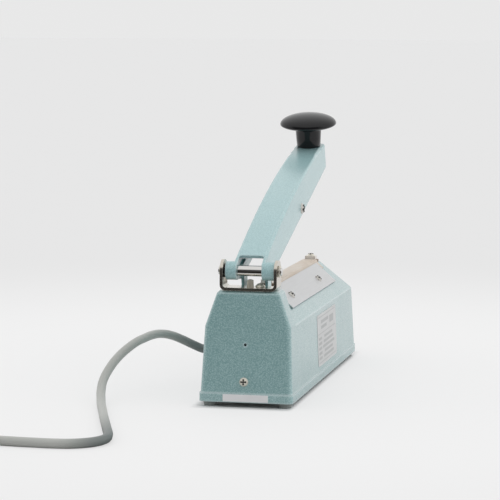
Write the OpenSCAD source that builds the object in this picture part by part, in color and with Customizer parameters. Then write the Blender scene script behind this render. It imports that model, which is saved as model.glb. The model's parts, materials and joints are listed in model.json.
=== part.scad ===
// Hand impulse sealer: a cast casing with a transformer and a timer, and a hinged arm that presses
// a film onto a heated strip. Millimetres. X runs from the hinge to the knob, Z is up.
// The arm is drawn open, as it rests. The floor is at Z = 0, under the middle of the object.

/* [Casing] */
// Length of the casing over its bottom lip
casing_l = 304.3; // [294:0.1:330]
// Width of the casing over its bottom lip
casing_w = 73.6; // [71.6:0.2:84]
// Height of the bottom lip
lip_h = 6.8; // [4:0.2:9]
// Step from the lip in to the wall above it
lip_step = 0.8; // [0.5:0.1:2.5]
// Height of the shoulder where the roof begins
shoulder_z = 57.6; // [56:0.2:62]
// Width across the shoulders
shoulder_w = 67.6; // [66:0.2:70]
// Set-in of both end faces at the shoulder
shoulder_set = 6; // [4:0.1:9]
// Height of the ridge that carries the sealing bar
ridge_z = 81; // [79:0.2:82]
// Width of the ridge
ridge_w = 14; // [13:0.5:18]
// Set-in of the front end at the ridge
ridge_set = 16.3; // [14:0.1:18]
// Length of the rear block under the hinge
block_l = 31; // [30:0.5:36]
// Height of the rear block
block_z = 85.2; // [84.4:0.1:86]
// Width of the rear block at its top
block_w = 48; // [46:0.5:52]
// Set-in of the rear face at the top of the block
block_set = 8.6; // [8:0.1:13]
// Wall thickness of the casting
wall = 3; // [2.5:0.1:3.5]
// Rounding of the casting's upright corners
corner_r = 4; // [2:0.5:6]
// Bevel round the top of the rear block
block_bevel = 2; // [1:0.25:3]
// Diameter of the small hole in the rear face
vent_d = 2; // [1:0.5:4]
// Height of the small hole in the rear face
vent_z = 44.2; // [38:0.2:48]

/* [Bottom plate and feet] */
// Thickness of the bottom plate
floor_t = 1.5; // [1:0.1:2]
// Depth of the bottom plate's outer face above the lip's lower edge
floor_recess = 1; // [0.5:0.1:2]
// Height of the feet below the casing
foot_h = 4; // [3:0.5:8]
// Diameter of a foot
foot_d = 10.4; // [9.4:0.2:11]
// Distance of a foot from the casing's end
foot_in_x = 9; // [8.6:0.1:20]
// Distance of a foot from the casing's side
foot_in_y = 7.2; // [7.2:0.1:11]
// Diameter of the bosses for the foot screws
boss_d = 9; // [8:0.5:10]
// Height of the bosses
boss_h = 20; // [16:1:24]
// Distance of the rear screw from the middle
rear_screw_y = 1.6; // [0:0.1:3]
// Height of the rear screw
rear_screw_z = 15.8; // [13:0.2:18]

/* [Hinge] */
// Distance of the hinge pin from the rear lip
pin_x = 17; // [16:0.25:18]
// Height of the hinge pin above the rear block
pin_h = 14.8; // [14.4:0.1:16]
// Diameter of the hinge pin
pin_d = 8.2; // [7:0.1:9]
// Diameter of the pin's ends, in the ears
pin_end_d = 6; // [4:0.1:6.5]
// Length of the pin's ends outside the ears
pin_end_l = 2.4; // [2:0.1:4]
// Width of the bracket
bracket_w = 44.7; // [44:0.1:46]
// Thickness of the bracket's sheet
bracket_t = 2.4; // [2:0.1:2.6]
// Outer bend radius of the bracket
bracket_r = 4.5; // [3:0.25:6]
// Radius of the ears round the pin
ear_r = 8.7; // [8:0.1:9.2]
// Length of the bracket's base ahead of the pin
bracket_front = 10; // [9:0.25:10.5]
// Distance of the bracket screw from the middle
bracket_screw_y = 7.2; // [7:0.1:8]
// Distance of the bracket screw ahead of the pin
bracket_screw_x = 3.5; // [2:0.25:4]
// Head diameter of the bracket screw
bracket_head_d = 8; // [7:0.1:8.4]
// Diameter of the dowel that locates the bracket
dowel_d = 5.2; // [4:0.1:5.4]
// Height of the dowel above the bracket's base
dowel_h = 6; // [3:0.1:6.4]

/* [Arm] */
// Distance of the arm's tip from the front end of the casing's lip
arm_tip_in = 13.3; // [12:0.1:16]
// Width of the arm
arm_w = 24.4; // [24:0.1:26]
// Wall thickness of the arm
arm_wall = 2.2; // [1.8:0.1:2.4]
// Depth of the arm's lower edge below the pin
arm_under = 12; // [11.6:0.1:12.4]
// Radius of the arched top
arm_r = 1150; // [900:10:1500]
// Distance of the arch's highest point from the pin
arm_peak_u = 142; // [130:1:150]
// Height of the arch above the pin
arm_peak_v = 17.4; // [17:0.1:19]
// Rounding of the arm's top edges
arm_edge_r = 2; // [1:0.25:2.5]
// Slant of the arm's tip
tip_slant = 3; // [1:0.25:4]
// Angle at which the arm rests open
open_angle = 16.2; // [14:0.2:18]
// Diameter of the knuckles round the pin
knuckle_d = 14.4; // [13:0.1:14.8]
// Room for the spacer between the left knuckle and its ear
spacer_room = 1.4; // [1:0.1:2.4]
// Distance from the pin to the end of the slot in the top
slot_u = 8; // [6:0.25:9]

/* [Tails and cross bar] */
// Distance of the tails' rear edge from the pin
tail_u = 13; // [13:0.25:14]
// Width of the tails
tail_w = 12; // [10:0.25:12]
// Thickness of the tails
tail_t = 1.8; // [1.4:0.1:2]
// Depth of the cross bar below the pin
cross_v = 25.5; // [24:0.1:27]
// Diameter of the cross bar
cross_d = 4; // [3:0.1:5]

/* [Pressure bar] */
// Room between the pressure bar and the terminals
press_room = 1.5; // [1:0.25:5]
// Height of the pressure bar
press_h = 11; // [10:0.25:12]
// Width of the silicone strip
strip_w = 12; // [8:0.25:14]
// Thickness of the silicone strip
strip_t = 3; // [2:0.1:3.5]
// Distance of the side screws from the pin
side_screw_u = 155; // [120:1:190]
// Depth of the side screws below the pin
side_screw_v = 6.5; // [5.5:0.25:7]
// Head diameter of the side screws
side_head_d = 9.6; // [7:0.1:10]

/* [Knob] */
// Diameter of the knob's cap
knob_d = 48.7; // [40:0.1:52]
// Height of the cap's rim above the arm
knob_rim_z = 20.3; // [18:0.1:23]
// Height of the crown above the rim
knob_crown = 8.8; // [6:0.1:11]
// Depth of the cap below the rim
knob_belly = 4.8; // [3:0.1:6]
// Diameter of the neck where it meets the arm
neck_d = 20.5; // [17:0.25:21]
// Diameter of the neck under the cap
neck_top_d = 22.5; // [21.5:0.25:26]
// Distance of the knob from the arm's tip
knob_in = 12.5; // [12.5:0.25:20]
// Thread diameter of the knob's screw
knob_screw_d = 5; // [4:0.1:6]

/* [Sealing strip] */
// Distance of the rear terminal from the rear lip
terminal_rear_x = 84; // [80:0.5:88]
// Distance of the front terminal from the front end of the ridge
terminal_front_in = 8.5; // [7.5:0.25:10]
// Width of the sealing bar
bar_w = 12; // [11:0.25:12.6]
// Height of the sealing bar
bar_h = 2.2; // [1.5:0.1:2.6]
// Width of the heating element
element_w = 5; // [3:0.25:8]
// Thickness of the heating element
element_t = 0.25; // [0.15:0.01:0.4]
// Thickness of the cover sheet
cover_t = 0.4; // [0.2:0.05:0.5]
// Length of a terminal along the bar
terminal_l = 8; // [7:0.25:8.5]
// Width of a terminal
terminal_w = 9; // [8:0.25:10]
// Height of a terminal
terminal_h = 3; // [2:0.1:3.4]

/* [Clamp plates] */
// Distance of the clamp plates from the rear lip
plate_x = 62; // [60:0.5:66]
// Distance of the clamp plates from the front end of the ridge
plate_front_in = 26; // [22:0.5:30]
// Width of the clamp plates
plate_w = 23.2; // [19:0.2:24]
// Thickness of the clamp plates
plate_t = 1.1; // [0.8:0.1:2]
// Distance of the rear screws from the plates' rear end
plate_screw_rear = 30; // [15:0.5:60]
// Distance of the front screws from the plates' front end
plate_screw_front = 47; // [15:0.5:60]
// Distance of the screws from the plates' upper edge
plate_screw_down = 13.4; // [11:0.2:15]
// Width of the cover sheet under each plate
skirt_w = 7; // [4:0.25:8]

/* [Switch] */
// Diameter of the plunger's head
plunger_head_d = 14; // [13:0.25:15]
// Thickness of the plunger's head
plunger_head_h = 3; // [2:0.1:4]
// Diameter of the plunger's stem
plunger_d = 6; // [5:0.1:6.4]
// Length of the plunger
plunger_l = 38.5; // [37:0.25:40]
// Height of the spring seat
seat_z = 50; // [49:0.25:51]
// Outer diameter of the return spring
spring_d = 12; // [11.6:0.1:13]
// Wire of the return spring
spring_wire = 1.4; // [1:0.1:1.8]
// Turns of the return spring
spring_turns = 6; // [4:1:7]
// Length of the microswitch
switch_l = 27.8; // [26:0.1:30]
// Width of the microswitch
switch_w = 10.3; // [9:0.1:12]
// Height of the microswitch
switch_h = 15.9; // [14:0.1:17]
// Height of the microswitch above the casing's lower edge
switch_z = 15.1; // [14:0.1:16]
// Reach of the lever from its pivot to the plunger
lever_reach = 26; // [25:0.25:27]
// Thickness of the lever
lever_t = 0.6; // [0.4:0.05:0.8]
// Sheet of the switch bracket
switch_sheet = 2; // [1.5:0.1:2.5]

/* [Front panel] */
// Height of the timer dial
dial_z = 30; // [28:0.25:32]
// Diameter of the timer dial
dial_d = 30; // [24:0.5:34]
// Height of the timer dial
dial_h = 16; // [12:0.5:20]
// Diameter of the dial's scale
scale_d = 42; // [38:0.5:44]
// Thickness of the dial's scale
scale_t = 0.8; // [0.5:0.1:1.2]
// Diameter of the dial's shaft
shaft_d = 6; // [4:0.1:6.2]
// Diameter of the potentiometer
pot_d = 24; // [18:0.5:26]
// Depth of the potentiometer
pot_h = 10; // [8:0.5:14]
// Distance of the pilot lamp from the casing's side at its height
lamp_side_in = 9.3; // [7.5:0.1:10.5]
// Height of the pilot lamp
lamp_z = 46; // [44:0.5:48]
// Diameter of the pilot lamp's lens
lamp_d = 7.6; // [6:0.1:8]

/* [Transformer] */
// Distance of the transformer's middle from the rear lip
core_x = 140; // [130:1:150]
// Length of the core
core_l = 60; // [54:1:66]
// Height of the core
core_h = 50; // [44:1:51]
// Thickness of the stack of sheets
core_w = 28; // [22:1:32]
// Width of an outer leg and of a yoke
core_leg = 10; // [8:0.5:11]
// Width of the winding
winding_w = 50; // [44:0.5:54]
// Sheet of the clamping frame
frame_t = 1.2; // [0.8:0.1:1.6]

/* [Circuit board] */
// Distance of the board's middle from the rear lip
board_x = 232; // [225:1:240]
// Length of the board
board_l = 62; // [60:1:70]
// Width of the board
board_w = 50; // [48:1:54]
// Thickness of the board
board_t = 1.6; // [1:0.1:2]
// Height of the standoffs
standoff_h = 10; // [6:0.5:12]

/* [Labels] */
// Length of the plain plate on the rear lip
rear_label_l = 35.5; // [20:0.5:40]
// Height of the plain plate on the rear lip
rear_label_h = 5.6; // [3:0.1:6.2]
// Distance of the side label from the rear lip
side_label_x = 120; // [90:1:140]
// Length of the side label
side_label_l = 88; // [60:1:100]
// Height of the side label
side_label_h = 42; // [30:0.5:44]
// Thickness of both labels
label_t = 0.2; // [0.1:0.05:0.3]

/* [Cord] */
// Diameter of the cord
cord_d = 7; // [6:0.1:7.4]
// Distance of the strain relief from the rear lip
relief_x = 112; // [110:0.5:114]
// Height of the strain relief
relief_z = 23.5; // [23:0.25:24.5]
// Length of the strain relief outside the casing
relief_l = 16; // [15:0.5:18]
// Loops of the coiled cord
coil_loops = 4.25; // [2.25:1:5.25]
// Largest radius of the coil, at the middle of the cord
coil_r = 44; // [40:0.5:52]
// Space from loop to loop, beyond the cord's own diameter
coil_gap = 0.7; // [0.5:0.05:1.5]
// Thickness of the tie round the coil
tie_t = 1; // [0.8:0.1:1.5]
// Width of the tie
tie_w = 6; // [4:0.5:10]
// Length of the plug's body
plug_l = 40; // [34:1:48]
// Height of the plug as it lies
plug_h = 23; // [18:0.5:24]

/* [Screws] */
// Thread diameter of the larger screws
screw_d = 4; // [3:0.1:4.4]
// Head diameter of the larger screws
head_d = 7; // [6.4:0.1:7.6]
// Head height of the larger screws
head_h = 2.2; // [1.5:0.1:2.4]
// Thread diameter of the small screws inside
small_screw_d = 3; // [2:0.1:3.2]
// Head diameter of the small screws
small_head_d = 5.4; // [4.4:0.1:6]

/* [Fits] */
// Room between a screw and its hole, on the diameter
hole_room = 0.1; // [0.05:0.01:0.3]
// Running room of pins and shafts, on the diameter
running_room = 0.1; // [0.04:0.01:0.16]
// Room under pieces that lie on the casing
seat_gap = 0.02; // [0.01:0.01:0.05]
// Room between flat pieces that stay apart
part_room = 0.3; // [0.2:0.05:0.5]

/* [Hidden] */
$fn = 64;
nothing = 0.01;
past = 1;

// Casing, measured from the rear lip and from the casing's lower edge
lip_hw = casing_w / 2;
shoulder_hw = shoulder_w / 2;
ridge_hw = ridge_w / 2;
wall_rise = shoulder_z - lip_h;
end_tilt = atan2(shoulder_set - lip_step, wall_rise);
side_tilt = atan2(lip_hw - lip_step - shoulder_hw, wall_rise);
function end_set(z) = lip_step + (shoulder_set - lip_step) * (z - lip_h) / wall_rise;
function side_hw(z) = lip_hw - lip_step + (shoulder_hw - lip_hw + lip_step) * (z - lip_h) / wall_rise;
function front_x(z) = casing_l - end_set(z);
roof_a = atan2(ridge_z - shoulder_z, shoulder_hw - ridge_hw);
roof_l = norm([ridge_z - shoulder_z, shoulder_hw - ridge_hw]);
function inner_roof_hw(z) = shoulder_hw + (-wall - (z - shoulder_z) * cos(roof_a)) / sin(roof_a);
function roof_point(s, n) = [shoulder_hw - s * cos(roof_a) + n * sin(roof_a),
    shoulder_z + s * sin(roof_a) + n * cos(roof_a)];
ridge_front_x = casing_l - ridge_set;
end_wall_n = wall * cos(end_tilt) + 2 * seat_gap;
side_slope = (lip_hw - lip_step - shoulder_hw) / wall_rise;
inner_shoulder_z = shoulder_z - wall * (1 / sin(roof_a) - 1) / (1 / tan(roof_a) - side_slope);

// Bottom plate
floor_top = floor_recess + floor_t;
floor_ledge = 2;
foot_neck_d = 6.4;
floor_hw = lip_hw - wall - 0.5;
feet = [for (x = [foot_in_x, casing_l - foot_in_x], y = [-1, 1]) [x, y * (lip_hw - foot_in_y)]];
tab_w = 14;
small_head_h = small_head_d * 0.3;

// Hinge and arm. Arm sizes are measured from the pin, along the arm and square to it
pin_z = block_z + pin_h;
ear_in = bracket_w / 2 - bracket_t;
arm_l = casing_l - arm_tip_in - pin_x;
knob_u = arm_l - knob_in;
arm_in = arm_w / 2 - arm_wall;
tail_in = arm_in - tail_t;
knuckle_left = ear_in - spacer_room;
knuckle_right = ear_in - 0.25;
knuckle_r = knuckle_d / 2;
function arm_top(u) = arm_peak_v - arm_r + sqrt(arm_r * arm_r - (u - arm_peak_u) * (u - arm_peak_u));
function arm_lean(u) = asin((u - arm_peak_u) / arm_r);
tail_r = tail_w / 2;
cross_u = tail_u + tail_r;
function cross_x(a) = pin_x + cross_u * cos(a) + cross_v * sin(a);
function cross_z(a) = pin_z + cross_u * sin(a) - cross_v * cos(a);

// Well in the roof for the tails. Its front edge stops the opening arm
well_rear = pin_x + tail_u - part_room - 0.7;
well_front = cross_x(open_angle) + tail_r + part_room;
well_hw = arm_in + 0.8;

// Sealing strip
bar_top = ridge_z + bar_h;
cover_under = bar_top + element_t + 0.05;
seal_z = cover_under + cover_t;
terminal_xs = [terminal_rear_x, ridge_front_x - terminal_front_in];
bar_ends = [terminal_xs[0] - 5, terminal_xs[1] + 5];
spigot_d = 7;
spigot_l = wall + 1.5;
terminal_z = bar_top + element_t;
strip_v = seal_z - pin_z + 0.15;
press_v = strip_v + strip_t;
press_u = terminal_xs[0] + terminal_l / 2 + 3.5 + press_room - pin_x;
press_l = terminal_xs[1] - terminal_l / 2 - press_room - pin_x - press_u;
cover_xs = [terminal_xs[0] + terminal_l / 2 + press_room, terminal_xs[1] - terminal_l / 2 - press_room];
plate_l = ridge_front_x - plate_front_in - plate_x;
plate_screw_xs = [plate_x + plate_screw_rear, plate_x + plate_l - plate_screw_front];
plate_screw_s = roof_l - plate_screw_down;

// Plunger: it follows the cross bar in proportion to the angle, so it keeps clear of the bar's curved path
plunger_x = (cross_x(0) + cross_x(open_angle)) / 2;
cross_dip = (cross_z(0) + cross_z(open_angle)) / 2 - cross_z(open_angle / 2);
plunger_top = cross_z(open_angle) - cross_d / 2 - cross_dip - 0.12;
plunger_travel = cross_z(open_angle) - cross_z(0);
plunger_tip = plunger_top - plunger_l;
spring_top = plunger_top - plunger_head_h;
bush_d = plunger_d + 2.4;

// Microswitch. Its lever lies under the plunger's round tip at rest and after its travel
pivot_x = plunger_x + lever_reach;
pivot_z = switch_z + switch_h + 1.5;
lever_clear = plunger_d / 2 + lever_t / 2 + 0.12;
function lever_angle(tip) = acos(lever_clear / norm([lever_reach, tip + plunger_d / 2 - pivot_z]))
    - atan2(lever_reach, tip + plunger_d / 2 - pivot_z);
lever_rest = lever_angle(plunger_tip);
lever_swing = lever_rest - lever_angle(plunger_tip - plunger_travel);
switch_x = pivot_x + 4.6 - switch_l;
switch_screw_xs = [switch_x + 2.8, switch_x + switch_l - 2.8];
switch_screw_z = switch_z + 5;
seat_xs = [plunger_x - spring_d / 2 - 4, plunger_x + spring_d / 2 + 4];
switch_foot_y = 16;
switch_foot_xs = [plunger_x, switch_x + switch_l - 6];

// Front panel, measured out from the front face
bush_out_d = shaft_d + 2;
nut_h = 2.5;
nut_af = bush_out_d + 3;
dial_lift = scale_t + 0.5;
dial_out = (dial_lift + dial_h) * cos(end_tilt) + (dial_d / 2 - 1) * sin(end_tilt);
dial_reach = front_x(dial_z) + dial_out - casing_l;
lamp_rim_d = lamp_d + 3;
lamp_y = side_hw(lamp_z) - lamp_side_in;

// The object's own length, without the cord
overall_l = label_t + casing_l + dial_reach;

// Strain relief and cord. The route's points are measured from the rear lip and the casing's lower edge
relief_top_d = 12.5;
relief_flange = [16, 3];
relief_axis = [0, cos(side_tilt), sin(side_tilt)];
relief_root = [relief_x, side_hw(relief_z), relief_z];
relief_tip = relief_root + (relief_l + 2 * seat_gap) * relief_axis;
floor_z = -foot_h;
coil_z = floor_z + tie_t + 0.2 + cord_d / 2;
coil_start = [-190, 196, coil_z];
route = [relief_tip,
    relief_tip + cord_d * relief_axis,
    [110.5, 65.5, 27.4], [106.5, 74, 32], [99.5, 82, 36.4], [90, 88.5, 38.8], [78, 93, 39.2],
    [65, 96.5, 38.2], [53, 99.8, 36.6], [42, 104, 33], [31, 109, 27.2], [20, 113, 19.8], [9, 115, 12],
    [-3, 113.5, 5.5], [-16, 110, 1.5], [-30, 106, -0.3], [-46, 101, -0.4], [-62, 96, -0.4],
    [-80, 90.4, -0.4], [-105, 82.4, -0.4], [-133, 73.4, -0.4], [-158, 65.8, -0.4], [-171, 64, -0.4],
    [-182, 66.8, -0.4], [-190.5, 73.8, -0.4], [-195.3, 82.7, -0.4], [-197, 93, -0.4], [-197, 108, -0.4],
    [-196, 126, -0.4], [-194, 144, -0.4], [-192, 160, -0.2], [-190.6, 175, 0.4],
    coil_start - [0, cord_d, 0], coil_start];
coil_pitch = cord_d + coil_gap;
coil_rings = 24;
coil_tail = 30;
coil_centre = coil_start + [-coil_r, cord_d, 0];
coil_steps = round(coil_loops * coil_rings);
function coil_in(t) = coil_r - coil_pitch * min(t, coil_loops - t);
function coil_climb(t) = min(1, max(0, 2 * (t - coil_loops / 2) + 0.5));
function coil_point(t) = coil_centre
    + [coil_in(t) * cos(360 * t), coil_in(t) * sin(360 * t), coil_pitch * coil_climb(t)];
coil_path = concat([coil_start], [for (i = [0:coil_steps]) coil_point(i / coil_rings)],
    [for (l = [coil_tail / 2, coil_tail]) coil_point(coil_loops) - [l, 0, 0]]);
coil_end = coil_path[len(coil_path) - 1];
coil_least_r = coil_in(coil_loops / 2);
coil_self_gap = min([for (i = [0:coil_steps], j = [i + coil_rings / 2:coil_steps])
    norm(coil_point(i / coil_rings) - coil_point(j / coil_rings))]) - cord_d;
cord_length = relief_l + path_length(route) + path_length(coil_path);
spring_r = (spring_d - spring_wire) / 2;
spring_rings = 8;
spring_rise = spring_top - seat_z - spring_wire - 2 * nothing;
spring_path = [for (i = [0:spring_turns * spring_rings])
    [plunger_x + spring_r * cos(360 * i / spring_rings), spring_r * sin(360 * i / spring_rings),
     seat_z + spring_wire / 2 + nothing + spring_rise * i / (spring_turns * spring_rings)]];
spring_self_gap = spring_rise / spring_turns - spring_wire;

echo(plunger_travel = plunger_travel, lever_swing = lever_swing, lever_rest = lever_rest);
echo(overall_l = overall_l, pin = [pin_x + label_t - overall_l / 2, 0, pin_z + foot_h]);
echo(pivot = [pivot_x + label_t - overall_l / 2, 0, pivot_z + foot_h]);
echo(plunger = [plunger_x + label_t - overall_l / 2, 0, seat_z + foot_h], spring_top = spring_top + foot_h);
echo(dial = [front_x(dial_z) + label_t - overall_l / 2, 0, dial_z + foot_h], end_tilt = end_tilt);
echo(coil_self_gap = coil_self_gap, spring_self_gap = spring_self_gap, coil_least_r = coil_least_r);
echo(cord_length = cord_length, seal_z = seal_z + foot_h, relief_tip = relief_tip, coil_end = coil_end);

// Helpers
function unit(v) = v / norm(v);
function path_length(p, i = 1) = i < len(p) ? norm(p[i] - p[i - 1]) + path_length(p, i + 1) : 0;
function ring(p, t, r, n) =
    let (side = unit(cross(t, [0, 0, 1])), up = cross(side, t))
    [for (k = [0:n - 1]) p + r * (cos(360 * (k + 0.5) / n) * side + sin(360 * (k + 0.5) / n) * up)];

// A round tube along a path, with flat ends
module swept_tube(path, r, n) {
    last = len(path) - 1;
    points = [for (i = [0:last])
        each ring(path[i], unit(path[min(i + 1, last)] - path[max(i - 1, 0)]), r, n)];
    walls = [for (i = [0:last - 1], k = [0:n - 1])
        let (a = i * n + k, b = i * n + (k + 1) % n) each [[a, a + n, b], [b, a + n, b + n]]];
    start = [for (k = [1:n - 2]) [0, k, k + 1]];
    end = [for (k = [1:n - 2]) [last * n, last * n + k + 1, last * n + k]];
    polyhedron(points, concat(walls, start, end));
}

module from_rear() {
    translate([label_t - overall_l / 2, 0, foot_h]) children();
}
module on_arm() {
    from_rear() translate([pin_x, 0, pin_z]) rotate([0, -open_angle, 0]) children();
}
module on_front(y, z) {
    translate([front_x(z), y, z]) rotate([0, 90 - end_tilt, 0]) translate([0, 0, seat_gap]) children();
}
module on_rear(y, z) {
    translate([end_set(z), y, z]) rotate([0, end_tilt - 90, 0]) translate([0, 0, seat_gap]) children();
}
module on_left(x, z) {
    translate([x, side_hw(z), z]) rotate([side_tilt - 90, 0, 0]) translate([0, 0, seat_gap]) children();
}
module on_roof(x, s, n = 0) {
    p = roof_point(s, n + seat_gap);
    translate([x, p[0], p[1]]) rotate([-roof_a, 0, 0]) children();
}
module both_sides() {
    children();
    mirror([0, 1, 0]) children();
}
// A shape drawn along the arm and square to it, given a width across the arm
module across(w) {
    rotate([90, 0, 0]) linear_extrude(w, center = true) children();
}
module rounded_rect(x0, x1, w, r) {
    translate([x0 + r, -w / 2]) square([x1 - x0 - 2 * r, w]);
    translate([x0, -w / 2 + r]) square([x1 - x0, w - 2 * r]);
    for (x = [x0 + r, x1 - r], y = [-w / 2 + r, w / 2 - r])
        translate([x, y]) circle(r);
}
module slab(x0, x1, hw, z, r, h = nothing) {
    translate([0, 0, z]) linear_extrude(h) rounded_rect(x0, x1, 2 * hw, r);
}
module block(x0, x1, y0, y1, z0, z1) {
    translate([x0, y0, z0]) cube([x1 - x0, y1 - y0, z1 - z0]);
}
// A cap cut from a ball, by its base and its height
module dome(d, h) {
    ball_r = (d * d / 4 + h * h) / (2 * h);
    intersection() {
        translate([0, 0, h - ball_r]) sphere(ball_r, $fn = 96);
        cylinder(d = d + past, h = h + past);
    }
}
// A pan head screw with a cross recess, its head above Z = 0
module pan_screw(d, l, hd, hh) {
    slot_w = hd * 0.14;
    difference() {
        union() {
            dome(hd, hh);
            translate([0, 0, -l]) cylinder(d = d, h = l + nothing);
        }
        for (a = [0, 90])
            rotate(a) translate([-hd * 0.28, -slot_w / 2, hh * 0.5]) cube([hd * 0.56, slot_w, hh]);
    }
}
module large_screw(l) {
    pan_screw(screw_d, l, head_d, head_h);
}
module small_screw(l) {
    pan_screw(small_screw_d, l, small_head_d, small_head_h);
}
module screw_hole(l, d = screw_d) {
    translate([0, 0, -l]) cylinder(d = d + hole_room, h = l + past);
}

// Casing
module casing_outside() {
    slab(0, casing_l, lip_hw, 0, corner_r, lip_h);
    hull() {
        slab(lip_step, casing_l - lip_step, lip_hw - lip_step, lip_h - nothing, corner_r, $fn = 32);
        slab(shoulder_set, casing_l - shoulder_set, shoulder_hw, shoulder_z, corner_r, $fn = 32);
    }
    hull() {
        slab(shoulder_set, casing_l - shoulder_set, shoulder_hw, shoulder_z, corner_r, $fn = 32);
        slab(block_set, ridge_front_x, ridge_hw, ridge_z - nothing, corner_r / 2, $fn = 32);
    }
    hull() {
        slab(shoulder_set, block_l, shoulder_hw, shoulder_z, corner_r, $fn = 32);
        slab(block_set, block_l, block_w / 2 + block_bevel * 0.4, block_z - block_bevel,
            corner_r / 2, $fn = 32);
        slab(block_set + block_bevel, block_l - block_bevel / 2, block_w / 2 - block_bevel * 0.6,
            block_z - nothing, corner_r / 2, $fn = 32);
    }
}
module inner_slab(z, r) {
    slab(end_set(z) + wall, front_x(z) - wall, side_hw(z) - wall, z, r, $fn = 32);
}
module casing_inside() {
    inner_r = max(0.5, corner_r - wall);
    under_ridge = ridge_z - wall;
    slab(wall + 0.5, casing_l - wall - 0.5, floor_hw, -past, corner_r, floor_top + past);
    hull() {
        inner_slab(floor_top - past, inner_r);
        inner_slab(inner_shoulder_z, inner_r);
    }
    hull() {
        inner_slab(inner_shoulder_z, inner_r);
        slab(block_set + wall, ridge_front_x - wall, inner_roof_hw(under_ridge), under_ridge,
            inner_r, $fn = 32);
    }
    hull() {
        slab(shoulder_set + wall, block_l - wall, shoulder_hw - wall * 1.2, shoulder_z - wall,
            inner_r, $fn = 32);
        slab(block_set + wall, block_l - wall, block_w / 2 - wall * 1.2, block_z - wall, inner_r, $fn = 32);
    }
}
module casing() {
    color("#8fb3b3") from_rear() difference() {
        union() {
            difference() {
                casing_outside();
                casing_inside();
            }
            for (p = feet)
                translate([p[0], p[1], floor_top]) cylinder(d = boss_d, h = boss_h);
            translate([pin_x + bracket_screw_x, -bracket_screw_y, block_z - wall - 8])
                cylinder(d = boss_d, h = 9);
            translate([pin_x, 0, block_z - wall - 8]) cylinder(d = boss_d, h = 9);
        }
        for (p = feet)
            translate([p[0], p[1], floor_top - past])
                cylinder(d = small_screw_d + hole_room, h = boss_h - 2 + past);
        block(well_rear, well_front, -well_hw, well_hw, shoulder_z + wall, block_z + past);
        translate([pin_x + bracket_screw_x, -bracket_screw_y, block_z]) screw_hole(9);
        translate([pin_x, 0, block_z]) screw_hole(9, dowel_d);
        for (x = terminal_xs)
            translate([x, 0, ridge_z]) screw_hole(spigot_l, spigot_d);
        both_sides()
            for (x = plate_screw_xs)
                on_roof(x, plate_screw_s) screw_hole(wall + past);
        on_rear(rear_screw_y, rear_screw_z) screw_hole(wall + past);
        on_rear(rear_screw_y * 0.7, vent_z) screw_hole(wall + past, vent_d);
        on_front(0, dial_z) screw_hole(wall + past, bush_out_d);
        on_front(lamp_y, lamp_z) screw_hole(wall + past, lamp_d);
        on_left(relief_x, relief_z) screw_hole(wall + past, relief_top_d - 1.5);
    }
}
module bottom_plate() {
    tab_z = rear_screw_z + 6;
    color("#9a9c9c") from_rear() difference() {
        union() {
            slab(wall + 0.8, casing_l - wall - 0.8, floor_hw - 0.3, floor_recess, corner_r, floor_t);
            intersection() {
                on_rear(0, rear_screw_z) translate([-20, -tab_w / 2, -end_wall_n - floor_t])
                    cube([40, tab_w, floor_t]);
                block(0, 30, -tab_w, tab_w, floor_recess, tab_z);
            }
        }
        for (p = feet)
            translate([p[0], p[1], floor_top]) screw_hole(floor_t + past, small_screw_d + 0.2);
        on_rear(rear_screw_y, rear_screw_z) screw_hole(wall + floor_t + past);
        for (x = switch_foot_xs)
            translate([x, switch_foot_y, floor_top]) screw_hole(floor_t + past, small_screw_d);
        for (x = [-1, 1])
            translate([core_x + x * (core_l / 2 + 7), 0, floor_top])
                screw_hole(floor_t + past, small_screw_d);
    }
}
module rubber_feet() {
    color("#2b2b2b") from_rear() for (p = feet)
        translate([p[0], p[1], floor_z]) difference() {
            union() {
                cylinder(d1 = foot_d - 0.8, d2 = foot_d, h = foot_h - seat_gap);
                cylinder(d = foot_neck_d, h = foot_h + floor_recess);
            }
            translate([0, 0, -past]) cylinder(d = small_head_d + 0.6, h = small_head_h + 0.3 + past);
            cylinder(d = small_screw_d + 0.3, h = foot_h + floor_recess + past);
        }
}
module foot_screws() {
    color("silver") from_rear() for (p = feet)
        translate([p[0], p[1], floor_z + small_head_h + 0.3]) mirror([0, 0, 1])
            small_screw(foot_h + floor_recess + floor_t + boss_h - 8);
}
module rear_screw() {
    color("silver") from_rear() on_rear(rear_screw_y, rear_screw_z) large_screw(wall + floor_t + 0.5);
}
module rear_label() {
    color("white") from_rear() block(-label_t, 0, -rear_label_l / 2, rear_label_l / 2,
        (lip_h - rear_label_h) / 2, (lip_h + rear_label_h) / 2);
}
module side_label() {
    middle_z = (lip_h + shoulder_z) / 2;
    color("white") from_rear() mirror([0, 1, 0]) on_left(side_label_x, middle_z)
        linear_extrude(label_t) rounded_rect(0, side_label_l, side_label_h, 3);
}

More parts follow.
